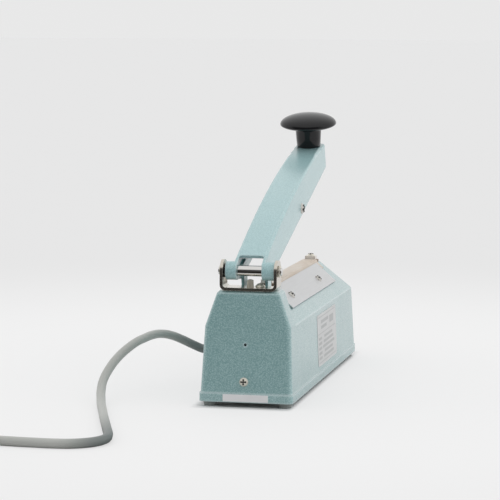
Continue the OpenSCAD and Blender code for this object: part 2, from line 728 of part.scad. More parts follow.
// Hinge
module hinge_bracket() {
    height = pin_h + ear_r + past;
    inner_r = bracket_r - bracket_t;
    module u_outline(w, r) {
        translate([-w / 2, r]) square([w, height]);
        translate([-w / 2 + r, 0]) square([w - 2 * r, height]);
        for (y = [-w / 2 + r, w / 2 - r])
            translate([y, r]) circle(r);
    }
    color("#c9c4b8") from_rear() translate([pin_x, 0, block_z]) difference() {
        intersection() {
            translate([-ear_r, 0, 0]) rotate([90, 0, 90]) linear_extrude(ear_r + bracket_front) difference() {
                u_outline(bracket_w, bracket_r);
                translate([0, bracket_t]) u_outline(bracket_w - 2 * bracket_t, inner_r);
            }
            across(bracket_w + past) {
                translate([0, pin_h]) circle(ear_r);
                translate([-ear_r, 0]) square([2 * ear_r, pin_h]);
                translate([-ear_r, 0]) square([ear_r + bracket_front, bracket_t + inner_r / 2]);
            }
        }
        translate([0, 0, pin_h]) rotate([90, 0, 0])
            cylinder(d = pin_end_d + hole_room, h = bracket_w + past, center = true);
        translate([bracket_screw_x, -bracket_screw_y, bracket_t]) screw_hole(bracket_t + past);
        translate([0, 0, bracket_t]) screw_hole(bracket_t + past, dowel_d);
    }
}
module bracket_screw() {
    color("silver") from_rear() translate([pin_x + bracket_screw_x, -bracket_screw_y, block_z + bracket_t])
        pan_screw(screw_d, bracket_t + 8, bracket_head_d, bracket_head_d * 0.35);
}
module bracket_dowel() {
    color("#d8d2c4") from_rear() translate([pin_x, 0, block_z - 8]) {
        cylinder(d = dowel_d, h = 8 + bracket_t + dowel_h - 1);
        translate([0, 0, 8 + bracket_t + dowel_h - 1 - nothing]) dome(dowel_d, 1);
    }
}
module hinge_pin() {
    color("#d8d8d6") from_rear() translate([pin_x, 0, pin_z]) rotate([90, 0, 0]) difference() {
        union() {
            cylinder(d = pin_d, h = 2 * ear_in, center = true);
            cylinder(d = pin_end_d, h = bracket_w + 2 * pin_end_l, center = true);
        }
        for (s = [-1, 1])
            translate([0, 0, s * (bracket_w / 2 + 0.9)]) rotate_extrude()
                translate([pin_end_d / 2 - 0.6, -0.5]) square([past, 1]);
    }
}
module pin_clips() {
    color("#3a3a3a") from_rear() translate([pin_x, 0, pin_z]) rotate([90, 0, 0]) for (s = [-1, 1])
        translate([0, 0, s * (bracket_w / 2 + 0.9)]) difference() {
            cylinder(d = pin_end_d + 3, h = 0.8, center = true);
            cylinder(d = pin_end_d - 1.2 + hole_room, h = past, center = true);
            translate([0, -(pin_end_d - 1.6) / 2, -past]) cube([pin_end_d, pin_end_d - 1.6, 2 * past]);
        }
}
module hinge_spacer() {
    color("#1e1e1e") from_rear() translate([pin_x, ear_in, pin_z]) rotate([90, 0, 0]) difference() {
        cylinder(d = pin_d + 2.4, h = spacer_room - 0.1);
        translate([0, 0, -past]) cylinder(d = pin_d + hole_room, h = spacer_room + 2 * past);
    }
}

// Arm and what it carries
module arm_arch(w, r, edge) {
    start = 90 - arm_lean(arm_l + 10);
    span = arm_lean(arm_l + 10) - arm_lean(-20);
    depth = 2 * (arm_peak_v + cross_v + tail_r);
    translate([arm_peak_u, 0, arm_peak_v - arm_r]) rotate([90, 0, 0]) rotate(start)
        rotate_extrude(angle = span, $fn = 1440) {
            translate([r - depth, -w / 2]) square([depth - edge, w]);
            translate([r - depth, -w / 2 + edge]) square([depth, w - 2 * edge]);
            for (y = [-w / 2 + edge, w / 2 - edge])
                translate([r - edge, y]) circle(edge, $fn = 48);
        }
}
module arm_side() {
    above = arm_peak_v + past;
    circle(knuckle_r);
    polygon([[0, knuckle_r], [slot_u, arm_top(slot_u)], [slot_u, above], [arm_l - tip_slant, above],
        [arm_l, -arm_under], [tail_u, -arm_under], [0, -knuckle_r]]);
}
module tail_outline() {
    translate([tail_u, -cross_v]) square([tail_w, cross_v]);
    translate([cross_u, -cross_v]) circle(tail_r);
}
module arm_channel() {
    color("#9dbcbc") on_arm() difference() {
        union() {
            difference() {
                intersection() {
                    arm_arch(arm_w, arm_r, arm_edge_r);
                    across(arm_w) arm_side();
                }
                intersection() {
                    arm_arch(2 * arm_in, arm_r - arm_wall, arm_edge_r / 4);
                    across(2 * arm_in) polygon([[-knuckle_d, -arm_l], [-knuckle_d, arm_l],
                        [arm_l - tip_slant - arm_wall, arm_l], [arm_l - arm_wall, -arm_under],
                        [arm_l - arm_wall, -arm_l]]);
                }
                translate([0, 0, -arm_peak_v]) linear_extrude(3 * arm_peak_v)
                    rounded_rect(-knuckle_d, slot_u, 2 * arm_in - 2 * part_room, arm_edge_r);
            }
            translate([0, knuckle_left, 0]) rotate([90, 0, 0])
                cylinder(d = knuckle_d, h = knuckle_left - arm_in);
            translate([0, -arm_in, 0]) rotate([90, 0, 0])
                cylinder(d = knuckle_d, h = knuckle_right - arm_in);
            both_sides() translate([0, arm_in - tail_t / 2 + 0.25, 0]) across(tail_t + 0.5) tail_outline();
        }
        rotate([90, 0, 0]) cylinder(d = pin_d + running_room, h = bracket_w, center = true);
        translate([cross_u, 0, -cross_v]) rotate([90, 0, 0])
            cylinder(d = cross_d + hole_room, h = arm_w + past, center = true);
        translate([side_screw_u, 0, -side_screw_v]) rotate([90, 0, 0])
            cylinder(d = screw_d + hole_room, h = arm_w + past, center = true);
        translate([knob_u, 0, arm_top(knob_u)]) rotate([0, arm_lean(knob_u), 0])
            translate([0, 0, -arm_wall - past])
                cylinder(d = knob_screw_d + hole_room, h = arm_wall + 2 * past);
    }
}
module cross_bar() {
    color("silver") on_arm() translate([cross_u, 0, -cross_v]) rotate([90, 0, 0])
        cylinder(d = cross_d, h = 2 * arm_in + 0.5, center = true);
}
module pressure_bar() {
    color("#b9bcbe") on_arm() difference() {
        block(press_u, press_u + press_l, -arm_in + part_room / 2, arm_in - part_room / 2,
            press_v, press_v + press_h);
        translate([side_screw_u, 0, -side_screw_v]) rotate([90, 0, 0])
            cylinder(d = screw_d + hole_room, h = arm_w, center = true);
    }
}
module silicone_strip() {
    color("#b4522f") on_arm() block(press_u, press_u + press_l, -strip_w / 2, strip_w / 2, strip_v, press_v);
}
module side_screws() {
    color("silver") on_arm() both_sides()
        translate([side_screw_u, arm_w / 2, -side_screw_v]) rotate([-90, 0, 0])
            pan_screw(screw_d, arm_wall + 6, side_head_d, head_h);
}
module on_knob() {
    on_arm() translate([knob_u, 0, arm_top(knob_u)]) rotate([0, arm_lean(knob_u), 0]) children();
}
module knob() {
    neck_h = knob_rim_z - knob_belly / 2;
    color("#161616") on_knob() difference() {
        union() {
            translate([0, 0, 0.05]) cylinder(d1 = neck_d, d2 = neck_top_d, h = neck_h);
            rotate_extrude() polygon([for (a = [-90:7.5:90])
                [knob_d / 2 * cos(a), knob_rim_z + (a < 0 ? knob_belly : knob_crown) * sin(a)]]);
        }
        translate([0, 0, -past]) cylinder(d = knob_screw_d + hole_room, h = neck_h - 2);
    }
}
module knob_screw() {
    color("silver") on_knob() translate([0, 0, -arm_wall - 0.05]) mirror([0, 0, 1])
        pan_screw(knob_screw_d, arm_wall + neck_d / 2, knob_screw_d * 1.8, knob_screw_d * 0.6);
}

// Sealing strip
module sealing_bar() {
    color("#6a4a32") from_rear() difference() {
        union() {
            block(bar_ends[0], bar_ends[1], -bar_w / 2, bar_w / 2, ridge_z, bar_top);
            for (x = terminal_xs)
                translate([x, 0, ridge_z - spigot_l]) cylinder(d = spigot_d, h = spigot_l + nothing);
        }
        for (x = terminal_xs)
            translate([x, 0, bar_top]) screw_hole(bar_h + spigot_l + past);
    }
}
module heating_element() {
    pad = terminal_l - 0.5;
    color("#8d8a86") from_rear() difference() {
        union() {
            block(terminal_xs[0], terminal_xs[1], -element_w / 2, element_w / 2, bar_top, terminal_z);
            for (x = terminal_xs)
                block(x - pad / 2, x + pad / 2, -pad / 2, pad / 2, bar_top, terminal_z);
        }
        for (x = terminal_xs)
            translate([x, 0, terminal_z]) screw_hole(past);
    }
}
module cover_sheet() {
    edge = roof_point(roof_l, seat_gap);
    edge_out = roof_point(roof_l, cover_t);
    low = roof_point(roof_l - skirt_w, seat_gap);
    low_out = roof_point(roof_l - skirt_w, cover_t);
    half = [low, edge, [bar_w / 2 + 0.05, cover_under]];
    half_out = [[bar_w / 2 + 0.05 + cover_t / 2, seal_z], edge_out, low_out];
    outline = concat(half, [for (p = [2, 1, 0]) [-half[p][0], half[p][1]]],
        [for (p = [2, 1, 0]) [-half_out[p][0], half_out[p][1]]], half_out);
    color("#cdbfa8") from_rear() translate([cover_xs[0], 0, 0]) rotate([90, 0, 90])
        linear_extrude(cover_xs[1] - cover_xs[0]) polygon(outline);
}
module terminals() {
    color("#b5793f") from_rear() for (x = terminal_xs) difference() {
        block(x - terminal_l / 2, x + terminal_l / 2, -terminal_w / 2, terminal_w / 2,
            terminal_z, terminal_z + terminal_h);
        translate([x, 0, terminal_z + terminal_h]) screw_hole(terminal_h + past);
    }
}
terminal_screw_l = terminal_h + element_t + bar_h + spigot_l + 4.5;
module terminal_screws() {
    color("#c9b77a") from_rear() for (x = terminal_xs)
        translate([x, 0, terminal_z + terminal_h]) pan_screw(screw_d, terminal_screw_l, head_d - 0.4, head_h);
}
module terminal_nuts() {
    color("#c9b77a") from_rear() for (x = terminal_xs)
        translate([x, 0, ridge_z - spigot_l - 3.2]) difference() {
            cylinder(d = screw_d * 2, h = 3.2, $fn = 6);
            translate([0, 0, -past]) cylinder(d = screw_d + hole_room, h = 3.2 + 2 * past);
        }
}
module clamp_plate() {
    difference() {
        on_roof(plate_x, roof_l, cover_t) cube([plate_l, plate_w, plate_t]);
        for (x = plate_screw_xs)
            on_roof(x, plate_screw_s, cover_t + plate_t) screw_hole(plate_t + past);
    }
}
module left_clamp_plate() {
    color("#d2d3d5") from_rear() clamp_plate();
}
module right_clamp_plate() {
    color("#d2d3d5") from_rear() mirror([0, 1, 0]) clamp_plate();
}
module clamp_plate_screws() {
    color("silver") from_rear() both_sides()
        for (x = plate_screw_xs)
            on_roof(x, plate_screw_s, cover_t + plate_t) large_screw(plate_t + cover_t + wall + 0.5);
}

// Switch, plunger and return spring
module plunger() {
    color("#d0d0cc") from_rear() translate([plunger_x, 0, 0]) {
        translate([0, 0, spring_top]) cylinder(d = plunger_head_d, h = plunger_head_h);
        translate([0, 0, plunger_tip + plunger_d / 2])
            cylinder(d = plunger_d, h = spring_top - plunger_tip - plunger_d / 2 + nothing);
        translate([0, 0, plunger_tip + plunger_d / 2]) sphere(d = plunger_d);
    }
}
module return_spring() {
    color("#7d7f80") from_rear() swept_tube(spring_path, spring_wire / 2, 6);
}
module guide_bush() {
    flange_h = 1.5;
    color("#efe9da") from_rear() translate([plunger_x, 0, seat_z - switch_sheet]) difference() {
        union() {
            cylinder(d = bush_d, h = switch_sheet);
            translate([0, 0, -flange_h]) cylinder(d = switch_w - part_room, h = flange_h);
        }
        translate([0, 0, -flange_h - past])
            cylinder(d = plunger_d + running_room, h = switch_sheet + 3 * past);
    }
}
module switch_bracket() {
    wall_y = [switch_w / 2, switch_w / 2 + switch_sheet];
    color("#a8abab") from_rear() difference() {
        union() {
            block(seat_xs[0], switch_x + switch_l, wall_y[0], wall_y[1], floor_top, switch_z + switch_h);
            block(seat_xs[0], seat_xs[1], wall_y[0], wall_y[1], floor_top, seat_z);
            block(seat_xs[0], seat_xs[1], -spring_d / 2 - 3, wall_y[1], seat_z - switch_sheet, seat_z);
            block(seat_xs[0], switch_x + switch_l, wall_y[0], switch_foot_y + 6,
                floor_top, floor_top + switch_sheet);
        }
        translate([plunger_x, 0, seat_z]) screw_hole(switch_sheet + past, bush_d);
        for (x = switch_screw_xs)
            translate([x, 0, switch_screw_z]) rotate([-90, 0, 0])
                cylinder(d = small_screw_d + hole_room, h = wall_y[1] + past);
        for (x = switch_foot_xs)
            translate([x, switch_foot_y, floor_top + switch_sheet])
                screw_hole(switch_sheet + past, small_screw_d);
    }
}
module switch_bracket_screws() {
    color("silver") from_rear() for (x = switch_foot_xs)
        translate([x, switch_foot_y, floor_top + switch_sheet]) small_screw(switch_sheet + floor_t + 0.5);
}
module microswitch() {
    lug = 2.4;
    color("#22252a") from_rear() difference() {
        union() {
            block(switch_x, switch_x + switch_l, -switch_w / 2, switch_w / 2, switch_z, switch_z + switch_h);
            for (y = [-switch_w / 2, switch_w / 2 - lug])
                block(pivot_x - 2, pivot_x + 2, y, y + lug, switch_z + switch_h - nothing, pivot_z + 1.8);
            block(pivot_x - 11, pivot_x - 8, -1.5, 1.5,
                switch_z + switch_h - nothing, switch_z + switch_h + 0.9);
            for (x = [0.15, 0.5, 0.85])
                block(switch_x + x * switch_l - 1.6, switch_x + x * switch_l + 1.6, -0.4, 0.4,
                    switch_z - 7, switch_z + nothing);
        }
        for (x = switch_screw_xs)
            translate([x, 0, switch_screw_z]) rotate([90, 0, 0])
                cylinder(d = small_screw_d + hole_room, h = switch_w + past, center = true);
        translate([pivot_x, 0, pivot_z]) rotate([90, 0, 0])
            cylinder(d = 1.6 + running_room, h = switch_w + past, center = true);
    }
}
module microswitch_screws() {
    color("silver") from_rear() for (x = switch_screw_xs)
        translate([x, -switch_w / 2, switch_screw_z]) rotate([90, 0, 0])
            small_screw(switch_w + switch_sheet + 1);
}
module switch_lever() {
    lever_w = switch_w - 2 * 2.4 - part_room;
    color("#c8c8c8") from_rear() translate([pivot_x, 0, pivot_z]) {
        rotate([0, lever_rest, 0])
            block(-lever_reach - 6, 0, -lever_w / 2, lever_w / 2, -lever_t / 2, lever_t / 2);
        rotate([90, 0, 0]) cylinder(d = 1.6, h = switch_w, center = true);
    }
}

// Transformer
module transformer_core() {
    window_w = (core_l - 4 * core_leg) / 2;
    color("#5b5e63") from_rear() translate([core_x, 0, floor_top]) difference() {
        block(-core_l / 2, core_l / 2, -core_w / 2, core_w / 2, 0, core_h);
        for (s = [-1, 1])
            translate([s * (core_leg + window_w / 2) - window_w / 2, -core_w, core_leg])
                cube([window_w, 2 * core_w, core_h - 2 * core_leg]);
    }
}
module transformer_winding() {
    window_w = (core_l - 4 * core_leg) / 2;
    color("#d9b44a") from_rear() translate([core_x, 0, floor_top + core_leg + part_room]) difference() {
        linear_extrude(core_h - 2 * core_leg - 2 * part_room)
            rounded_rect(-core_leg - window_w + part_room, core_leg + window_w - part_room, winding_w, 5);
        translate([-core_leg - part_room / 3, -core_w / 2 - part_room / 3, -past])
            cube([2 * core_leg + 2 * part_room / 3, core_w + 2 * part_room / 3, core_h]);
    }
}
module transformer_frame() {
    hw = core_w / 2 - 2;
    out = core_l / 2 + frame_t;
    color("#9fa3a5") from_rear() translate([core_x, 0, floor_top]) difference() {
        union() {
            block(-out, out, -hw, hw, core_h, core_h + frame_t);
            for (s = [0, 1]) mirror([s, 0, 0]) {
                block(core_l / 2, out, -hw, hw, 0, core_h + frame_t);
                block(core_l / 2, out + 13, -hw, hw, 0, frame_t);
            }
        }
        for (s = [-1, 1])
            translate([s * (core_l / 2 + 7), 0, frame_t]) screw_hole(frame_t + past, small_screw_d);
    }
}
module transformer_screws() {
    color("silver") from_rear() for (s = [-1, 1])
        translate([core_x + s * (core_l / 2 + 7), 0, floor_top + frame_t])
            small_screw(frame_t + floor_t + 0.5);
}

// Circuit board
board_z = floor_top + standoff_h;
board_holes = [for (x = [-1, 1], y = [-1, 1]) [board_x + x * (board_l / 2 - 4), y * (board_w / 2 - 4)]];
module circuit_board() {
    color("#3f7a4c") from_rear() difference() {
        slab(board_x - board_l / 2, board_x + board_l / 2, board_w / 2, board_z, 1.5, board_t);
        for (p = board_holes)
            translate([p[0], p[1], board_z + board_t]) screw_hole(board_t + past, small_screw_d);
    }
}
module board_standoffs() {
    color("#d8d2b0") from_rear() for (p = board_holes) translate([p[0], p[1], floor_top]) difference() {
        cylinder(d = small_screw_d * 2, h = standoff_h);
        translate([0, 0, 2]) cylinder(d = small_screw_d + hole_room, h = standoff_h);
    }
}
module board_screws() {
    color("silver") from_rear() for (p = board_holes)
        translate([p[0], p[1], board_z + board_t]) small_screw(board_t + standoff_h - 3);
}
module relay() {
    color("#2d5f9a") from_rear()
        block(board_x - 22, board_x - 3, -8, 7.5, board_z + board_t, board_z + board_t + 15.5);
}
module capacitors() {
    color("#23314a") from_rear() for (p = [[8, -14, 10, 16], [8, 0, 8, 12], [8, 12, 6.3, 11]])
        translate([board_x + p[0], p[1], board_z + board_t]) cylinder(d = p[2], h = p[3]);
}
module terminal_block() {
    color("#4d8f57") from_rear() difference() {
        block(board_x + 16, board_x + 25, -15, 15, board_z + board_t, board_z + board_t + 11);
        for (y = [-10, 0, 10])
            translate([board_x + 20.5, y, board_z + board_t + 11]) screw_hole(4, 4);
    }
}

// Front panel
module potentiometer() {
    color("#8c8f92") from_rear() on_front(0, dial_z) difference() {
        union() {
            translate([0, 0, -end_wall_n - pot_h]) cylinder(d = pot_d, h = pot_h);
            translate([0, 0, -end_wall_n - nothing])
                cylinder(d = bush_out_d, h = end_wall_n + scale_t + nut_h + 0.8);
        }
        translate([0, 0, -end_wall_n - pot_h + 2]) cylinder(d = shaft_d + running_room, h = 3 * pot_h);
    }
}
module potentiometer_nut() {
    color("#c8c8c4") from_rear() on_front(0, dial_z) translate([0, 0, scale_t]) difference() {
        cylinder(d = nut_af / cos(30), h = nut_h, $fn = 6);
        translate([0, 0, -past]) cylinder(d = bush_out_d + hole_room, h = nut_h + 2 * past);
    }
}
module dial_scale() {
    color("#d9dadb") from_rear() on_front(0, dial_z) difference() {
        cylinder(d = scale_d, h = scale_t);
        translate([0, 0, -past]) cylinder(d = bush_out_d + hole_room, h = scale_t + 2 * past);
    }
}
module timer_dial() {
    grip = 1;
    color("#1c1c1c") from_rear() on_front(0, dial_z) translate([0, 0, dial_lift]) difference() {
        union() {
            cylinder(d = dial_d, h = dial_h - grip);
            translate([0, 0, dial_h - grip - nothing])
                cylinder(d1 = dial_d, d2 = dial_d - 2 * grip, h = grip + nothing);
        }
        translate([0, 0, -past]) cylinder(d = nut_af / cos(30) + 2, h = nut_h + 2 + past);
        translate([0, 0, -past]) cylinder(d = shaft_d + hole_room, h = dial_h - 3 + past);
        for (a = [0:30:330])
            rotate(a) translate([dial_d / 2 + 1.2, 0, 3]) cylinder(d = 4, h = dial_h);
    }
}
module dial_shaft() {
    color("#d4d4d0") from_rear() on_front(0, dial_z)
        translate([0, 0, -end_wall_n - pot_h + 2.2])
            cylinder(d = shaft_d, h = end_wall_n + pot_h - 2.2 + dial_lift + dial_h - 3);
}
module lamp_holder() {
    color("#2a2a2a") from_rear() on_front(lamp_y, lamp_z) difference() {
        union() {
            cylinder(d = lamp_rim_d, h = 2);
            translate([0, 0, -end_wall_n - 16]) cylinder(d = lamp_d, h = end_wall_n + 16 + nothing);
        }
        translate([0, 0, 0.5]) cylinder(d = lamp_d - 1, h = past + 2);
    }
}
module lamp_lens() {
    lens_d = lamp_d - 1 - hole_room;
    color("#d23a22") from_rear() on_front(lamp_y, lamp_z) translate([0, 0, 0.5]) {
        cylinder(d = lens_d, h = 2);
        translate([0, 0, 2 - nothing]) dome(lens_d - 0.4, 1.8);
    }
}

// Cord and plug
module strain_relief() {
    inner_d = relief_top_d - 1.5 - hole_room;
    color("#8e8f8c") from_rear() on_left(relief_x, relief_z) {
        cylinder(d = relief_flange[0], h = relief_flange[1]);
        translate([0, 0, relief_flange[1] - nothing])
            cylinder(d1 = relief_top_d, d2 = cord_d + 1.4, h = relief_l - relief_flange[1] + nothing);
        translate([0, 0, -wall - 6]) cylinder(d = inner_d, h = wall + 6 + nothing);
    }
}
module cord() {
    color("#b4b4af") from_rear() swept_tube(route, cord_d / 2, 8);
}
module cord_coil() {
    color("#b4b4af") from_rear() swept_tube(coil_path, cord_d / 2, 6);
}
module coil_tie() {
    room = 0.2;
    corner = cord_d / 2 + room;
    ends = [coil_least_r - corner - room, coil_in(1 / 8) + corner + room];
    tall = coil_pitch + 2 * corner;
    color("#303030") from_rear() translate([coil_centre[0], coil_centre[1], coil_z + coil_pitch / 2])
        rotate(45) across(tie_w) difference() {
            rounded_rect(ends[0] - tie_t, ends[1] + tie_t, tall + 2 * tie_t, corner + tie_t);
            rounded_rect(ends[0], ends[1], tall, corner);
        }
}
plug_neck = 14;
module on_plug() {
    from_rear() translate(coil_end) rotate([0, -90, 0]) children();
}
module plug_body() {
    color("#a9a9a4") on_plug() {
        cylinder(d1 = cord_d + 2, d2 = plug_h * 0.6, h = plug_neck);
        translate([0, 0, plug_neck - nothing]) linear_extrude(plug_l - plug_neck)
            rounded_rect(-plug_h / 2, plug_h / 2, 29, 6);
    }
}
module plug_blades() {
    blade = [1.6, 6.3, 17];
    color("#cfc9a8") on_plug() translate([0, 0, plug_l]) {
        for (s = [-1, 1])
            translate([-3, s * 6.9, 0]) rotate(s * 30) translate([-blade[1] / 2, -blade[0] / 2, 0])
                cube([blade[1], blade[0], blade[2]]);
        translate([5, -blade[0] / 2, 0]) cube([blade[1] - 1, blade[0], blade[2] + 3]);
    }
}

casing();
bottom_plate();
rubber_feet();
foot_screws();
rear_screw();
rear_label();
side_label();
hinge_bracket();
bracket_screw();
bracket_dowel();
hinge_pin();
pin_clips();
hinge_spacer();
arm_channel();
cross_bar();
pressure_bar();
silicone_strip();
side_screws();
knob();
knob_screw();
sealing_bar();
heating_element();
cover_sheet();
terminals();
terminal_screws();
terminal_nuts();
left_clamp_plate();
right_clamp_plate();
clamp_plate_screws();
plunger();
return_spring();
guide_bush();
switch_bracket();
switch_bracket_screws();
microswitch();
microswitch_screws();
switch_lever();
transformer_core();
transformer_winding();
transformer_frame();
transformer_screws();
circuit_board();
board_standoffs();
board_screws();
relay();
capacitors();
terminal_block();
potentiometer();
potentiometer_nut();
dial_scale();
timer_dial();
dial_shaft();
lamp_holder();
lamp_lens();
strain_relief();
cord();
cord_coil();
coil_tie();
plug_body();
plug_blades();
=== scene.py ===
# %% [markdown]
# A hand impulse sealer, dressed in Blender
#
# The solids of this bench tool come ready made, packed as one model with a body for every moving
# group. This lesson gives them their looks: hammered paint, nickel, chrome, brushed aluminium and
# grey cord, under soft studio light. We start from an empty scene, because a new Blender file holds
# a cube, a lamp and a camera that we don't want.

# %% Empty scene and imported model
import json
import math

import bmesh
import bpy
from mathutils import Matrix, Vector, noise

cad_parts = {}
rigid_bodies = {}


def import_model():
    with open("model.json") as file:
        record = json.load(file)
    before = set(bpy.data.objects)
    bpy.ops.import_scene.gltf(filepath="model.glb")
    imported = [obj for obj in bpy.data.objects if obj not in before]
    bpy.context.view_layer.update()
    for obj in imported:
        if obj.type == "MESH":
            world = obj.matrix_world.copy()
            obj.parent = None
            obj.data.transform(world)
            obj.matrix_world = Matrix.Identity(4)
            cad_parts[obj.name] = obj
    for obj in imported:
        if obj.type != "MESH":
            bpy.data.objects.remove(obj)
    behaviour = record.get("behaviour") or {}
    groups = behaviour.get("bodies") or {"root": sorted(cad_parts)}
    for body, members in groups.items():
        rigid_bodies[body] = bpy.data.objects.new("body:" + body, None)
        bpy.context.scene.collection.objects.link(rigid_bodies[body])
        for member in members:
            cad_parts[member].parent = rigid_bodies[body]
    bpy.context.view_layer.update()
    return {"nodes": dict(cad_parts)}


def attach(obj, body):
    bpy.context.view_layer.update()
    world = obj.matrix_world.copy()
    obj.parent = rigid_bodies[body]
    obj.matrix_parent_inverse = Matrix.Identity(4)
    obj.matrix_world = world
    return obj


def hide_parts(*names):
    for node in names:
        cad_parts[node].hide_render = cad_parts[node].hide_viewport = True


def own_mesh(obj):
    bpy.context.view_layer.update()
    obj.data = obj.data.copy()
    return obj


for leftover in list(bpy.data.objects):
    bpy.data.objects.remove(leftover)
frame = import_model()
nodes = frame["nodes"]
MM = 0.001
scene = bpy.context.scene

# %% [markdown]
# The camera
#
# The picture was taken with a long lens from behind the hinge, a little to the right and a little
# above. A long lens keeps the far end of the casing almost as large as the near end. The camera is
# built from three directions: where right, up and backwards point for the person behind it.

# %% Camera
RIGHT = Vector((0.203218, -0.979117, 0.005672))
UP = Vector((0.093923, 0.025259, 0.995259))
BACK = Vector((-0.974618, -0.201722, 0.097095))
CAMERA_AT = Vector((-1.86645, -0.35633, 0.29187))
SENSOR = 36
LENS = 165.6
NEAREST = 0.1
FARTHEST = 50
camera = bpy.data.objects.new("camera", bpy.data.cameras.new("camera"))
scene.collection.objects.link(camera)
camera.data.sensor_width = SENSOR
camera.data.lens = LENS
camera.data.clip_start = NEAREST
camera.data.clip_end = FARTHEST
turn = Matrix((RIGHT, UP, BACK)).transposed().to_4x4()
camera.matrix_world = Matrix.Translation(CAMERA_AT) @ turn
scene.camera = camera
print("camera stands", round(camera.location.length, 2), "m from the sealer")

# %% [markdown]
# The way of the mains cord
#
# A cord is one length of something bendy. It leaves the strain relief straight, rises in a stiff
# arch, comes down under its own weight and then lies on the table. What the picture doesn't show is
# wound into a neat coil beside the view, as for storage, with the plug at its end. The points are
# in millimetres from the casing's rear lip, at the height of its underside.

# %% Cord route
REAR_LIP = Vector((-159.78, 0, 4))
LIP_H = 6.8
LIP_HW = 36
SHOULDER_Z = 57.6
SHOULDER_HW = 33.8
RELIEF_X = 112
RELIEF_Z = 23.5
RELIEF_L = 16.04
CORD_D = 7.0
FLOOR = -4.0
TIE_ROOM = 1.2
COIL_R = 44.0
COIL_PITCH = 7.7
COIL_LOOPS = 4.25
COIL_RINGS = 24
COIL_TAIL = 30
side_tilt = math.atan2(LIP_HW - SHOULDER_HW, SHOULDER_Z - LIP_H)


def side_hw(z):
    """Half the width of the casing at a height between its lip and its shoulder."""
    return LIP_HW - (z - LIP_H) * math.tan(side_tilt)


def coil_point(t):
    """A point of the coil after t loops: it winds inwards, climbs one layer and winds out again."""
    r = COIL_R - COIL_PITCH * min(t, COIL_LOOPS - t)
    climb = min(1, max(0, 2 * (t - COIL_LOOPS / 2) + 0.5))
    a = 2 * math.pi * t
    return coil_centre + Vector((r * math.cos(a), r * math.sin(a), COIL_PITCH * climb))


relief_axis = Vector((0, math.cos(side_tilt), math.sin(side_tilt)))
relief_root = Vector((RELIEF_X, side_hw(RELIEF_Z), RELIEF_Z))
relief_tip = relief_root + RELIEF_L * relief_axis
coil_start = Vector((-190, 196, FLOOR + TIE_ROOM + CORD_D / 2))
coil_centre = coil_start + Vector((-COIL_R, CORD_D, 0))
free_run = [relief_tip, relief_tip + CORD_D * relief_axis]
free_run += [Vector(p) for p in (
    (110.5, 65.5, 27.4), (106.5, 74, 32), (99.5, 82, 36.4), (90, 88.5, 38.8), (78, 93, 39.2),
    (65, 96.5, 38.2), (53, 99.8, 36.6), (42, 104, 33), (31, 109, 27.2), (20, 113, 19.8),
    (9, 115, 12), (-3, 113.5, 5.5), (-16, 110, 1.5), (-30, 106, -0.3), (-46, 101, -0.4),
    (-62, 96, -0.4), (-80, 90.4, -0.4), (-105, 82.4, -0.4), (-133, 73.4, -0.4),
    (-158, 65.8, -0.4), (-171, 64, -0.4), (-182, 66.8, -0.4), (-190.5, 73.8, -0.4),
    (-195.3, 82.7, -0.4), (-197, 93, -0.4), (-197, 108, -0.4), (-196, 126, -0.4),
    (-194, 144, -0.4), (-192, 160, -0.2), (-190.6, 175, 0.4))]
free_run += [coil_start - Vector((0, CORD_D, 0)), coil_start]
coil_run = [coil_point(i / COIL_RINGS) for i in range(round(COIL_LOOPS * COIL_RINGS) + 1)]
coil_run += [coil_run[-1] - Vector((run, 0, 0)) for run in (COIL_TAIL / 2, COIL_TAIL)]
cord_points = [(p + REAR_LIP) * MM for p in free_run + coil_run]
print("cord route:", len(cord_points), "points")

# %% [markdown]
# The mains cord
#
# A tube could be modelled ring by ring. A curve with a round bevel is easier to reshape: one Bezier
# spline with automatic handles runs smoothly through all the points.

# %% Cord
cord_curve = bpy.data.curves.new("mains_cord", "CURVE")
cord_curve.dimensions = "3D"
cord_curve.bevel_depth = 1.0
cord_curve.bevel_resolution = 5
cord_curve.resolution_u = 6
cord_curve.use_fill_caps = True
spline = cord_curve.splines.new("BEZIER")
spline.bezier_points.add(len(cord_points) - 1)
for handle, p in zip(spline.bezier_points, cord_points):
    handle.co = p
    handle.radius = CORD_D / 2 * MM
    handle.handle_left_type = handle.handle_right_type = "AUTO"
cord = bpy.data.objects.new("mains_cord", cord_curve)
scene.collection.objects.link(cord)
bpy.context.view_layer.update()
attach(cord, "base")
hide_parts("cord", "cord_coil")

# %% [markdown]
# The return spring
#
# Inside the casing a coil spring lifts the arm again after each seal. A wire is a small circle that
# turns about an axis and climbs a little with every step, so a spin with a shift per step makes it in
# one go.

# %% Return spring
PLUNGER_X = 39.18
SPRING_AXIS = Vector((PLUNGER_X + REAR_LIP.x, 0, 0)) * MM
SPRING_R = 5.3 * MM
WIRE_R = 0.7 * MM
WIRE_SIDES = 10
SPRING_FOOT = 54 * MM
SPRING_TOP = 79.468 * MM
SPRING_TURNS = 6
STEPS = 28 * SPRING_TURNS
WELD = 1e-6


def finished(bm, name, body, smooth=True):
    """Turns a bmesh into a piece at the origin that moves with a body."""
    bmesh.ops.remove_doubles(bm, verts=bm.verts, dist=WELD)
    bmesh.ops.recalc_face_normals(bm, faces=bm.faces)
    mesh = bpy.data.meshes.new(name)
    bm.to_mesh(mesh)
    bm.free()
    for face in mesh.polygons:
        face.use_smooth = smooth
    piece = bpy.data.objects.new(name, mesh)
    scene.collection.objects.link(piece)
    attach(piece, body)
    return piece


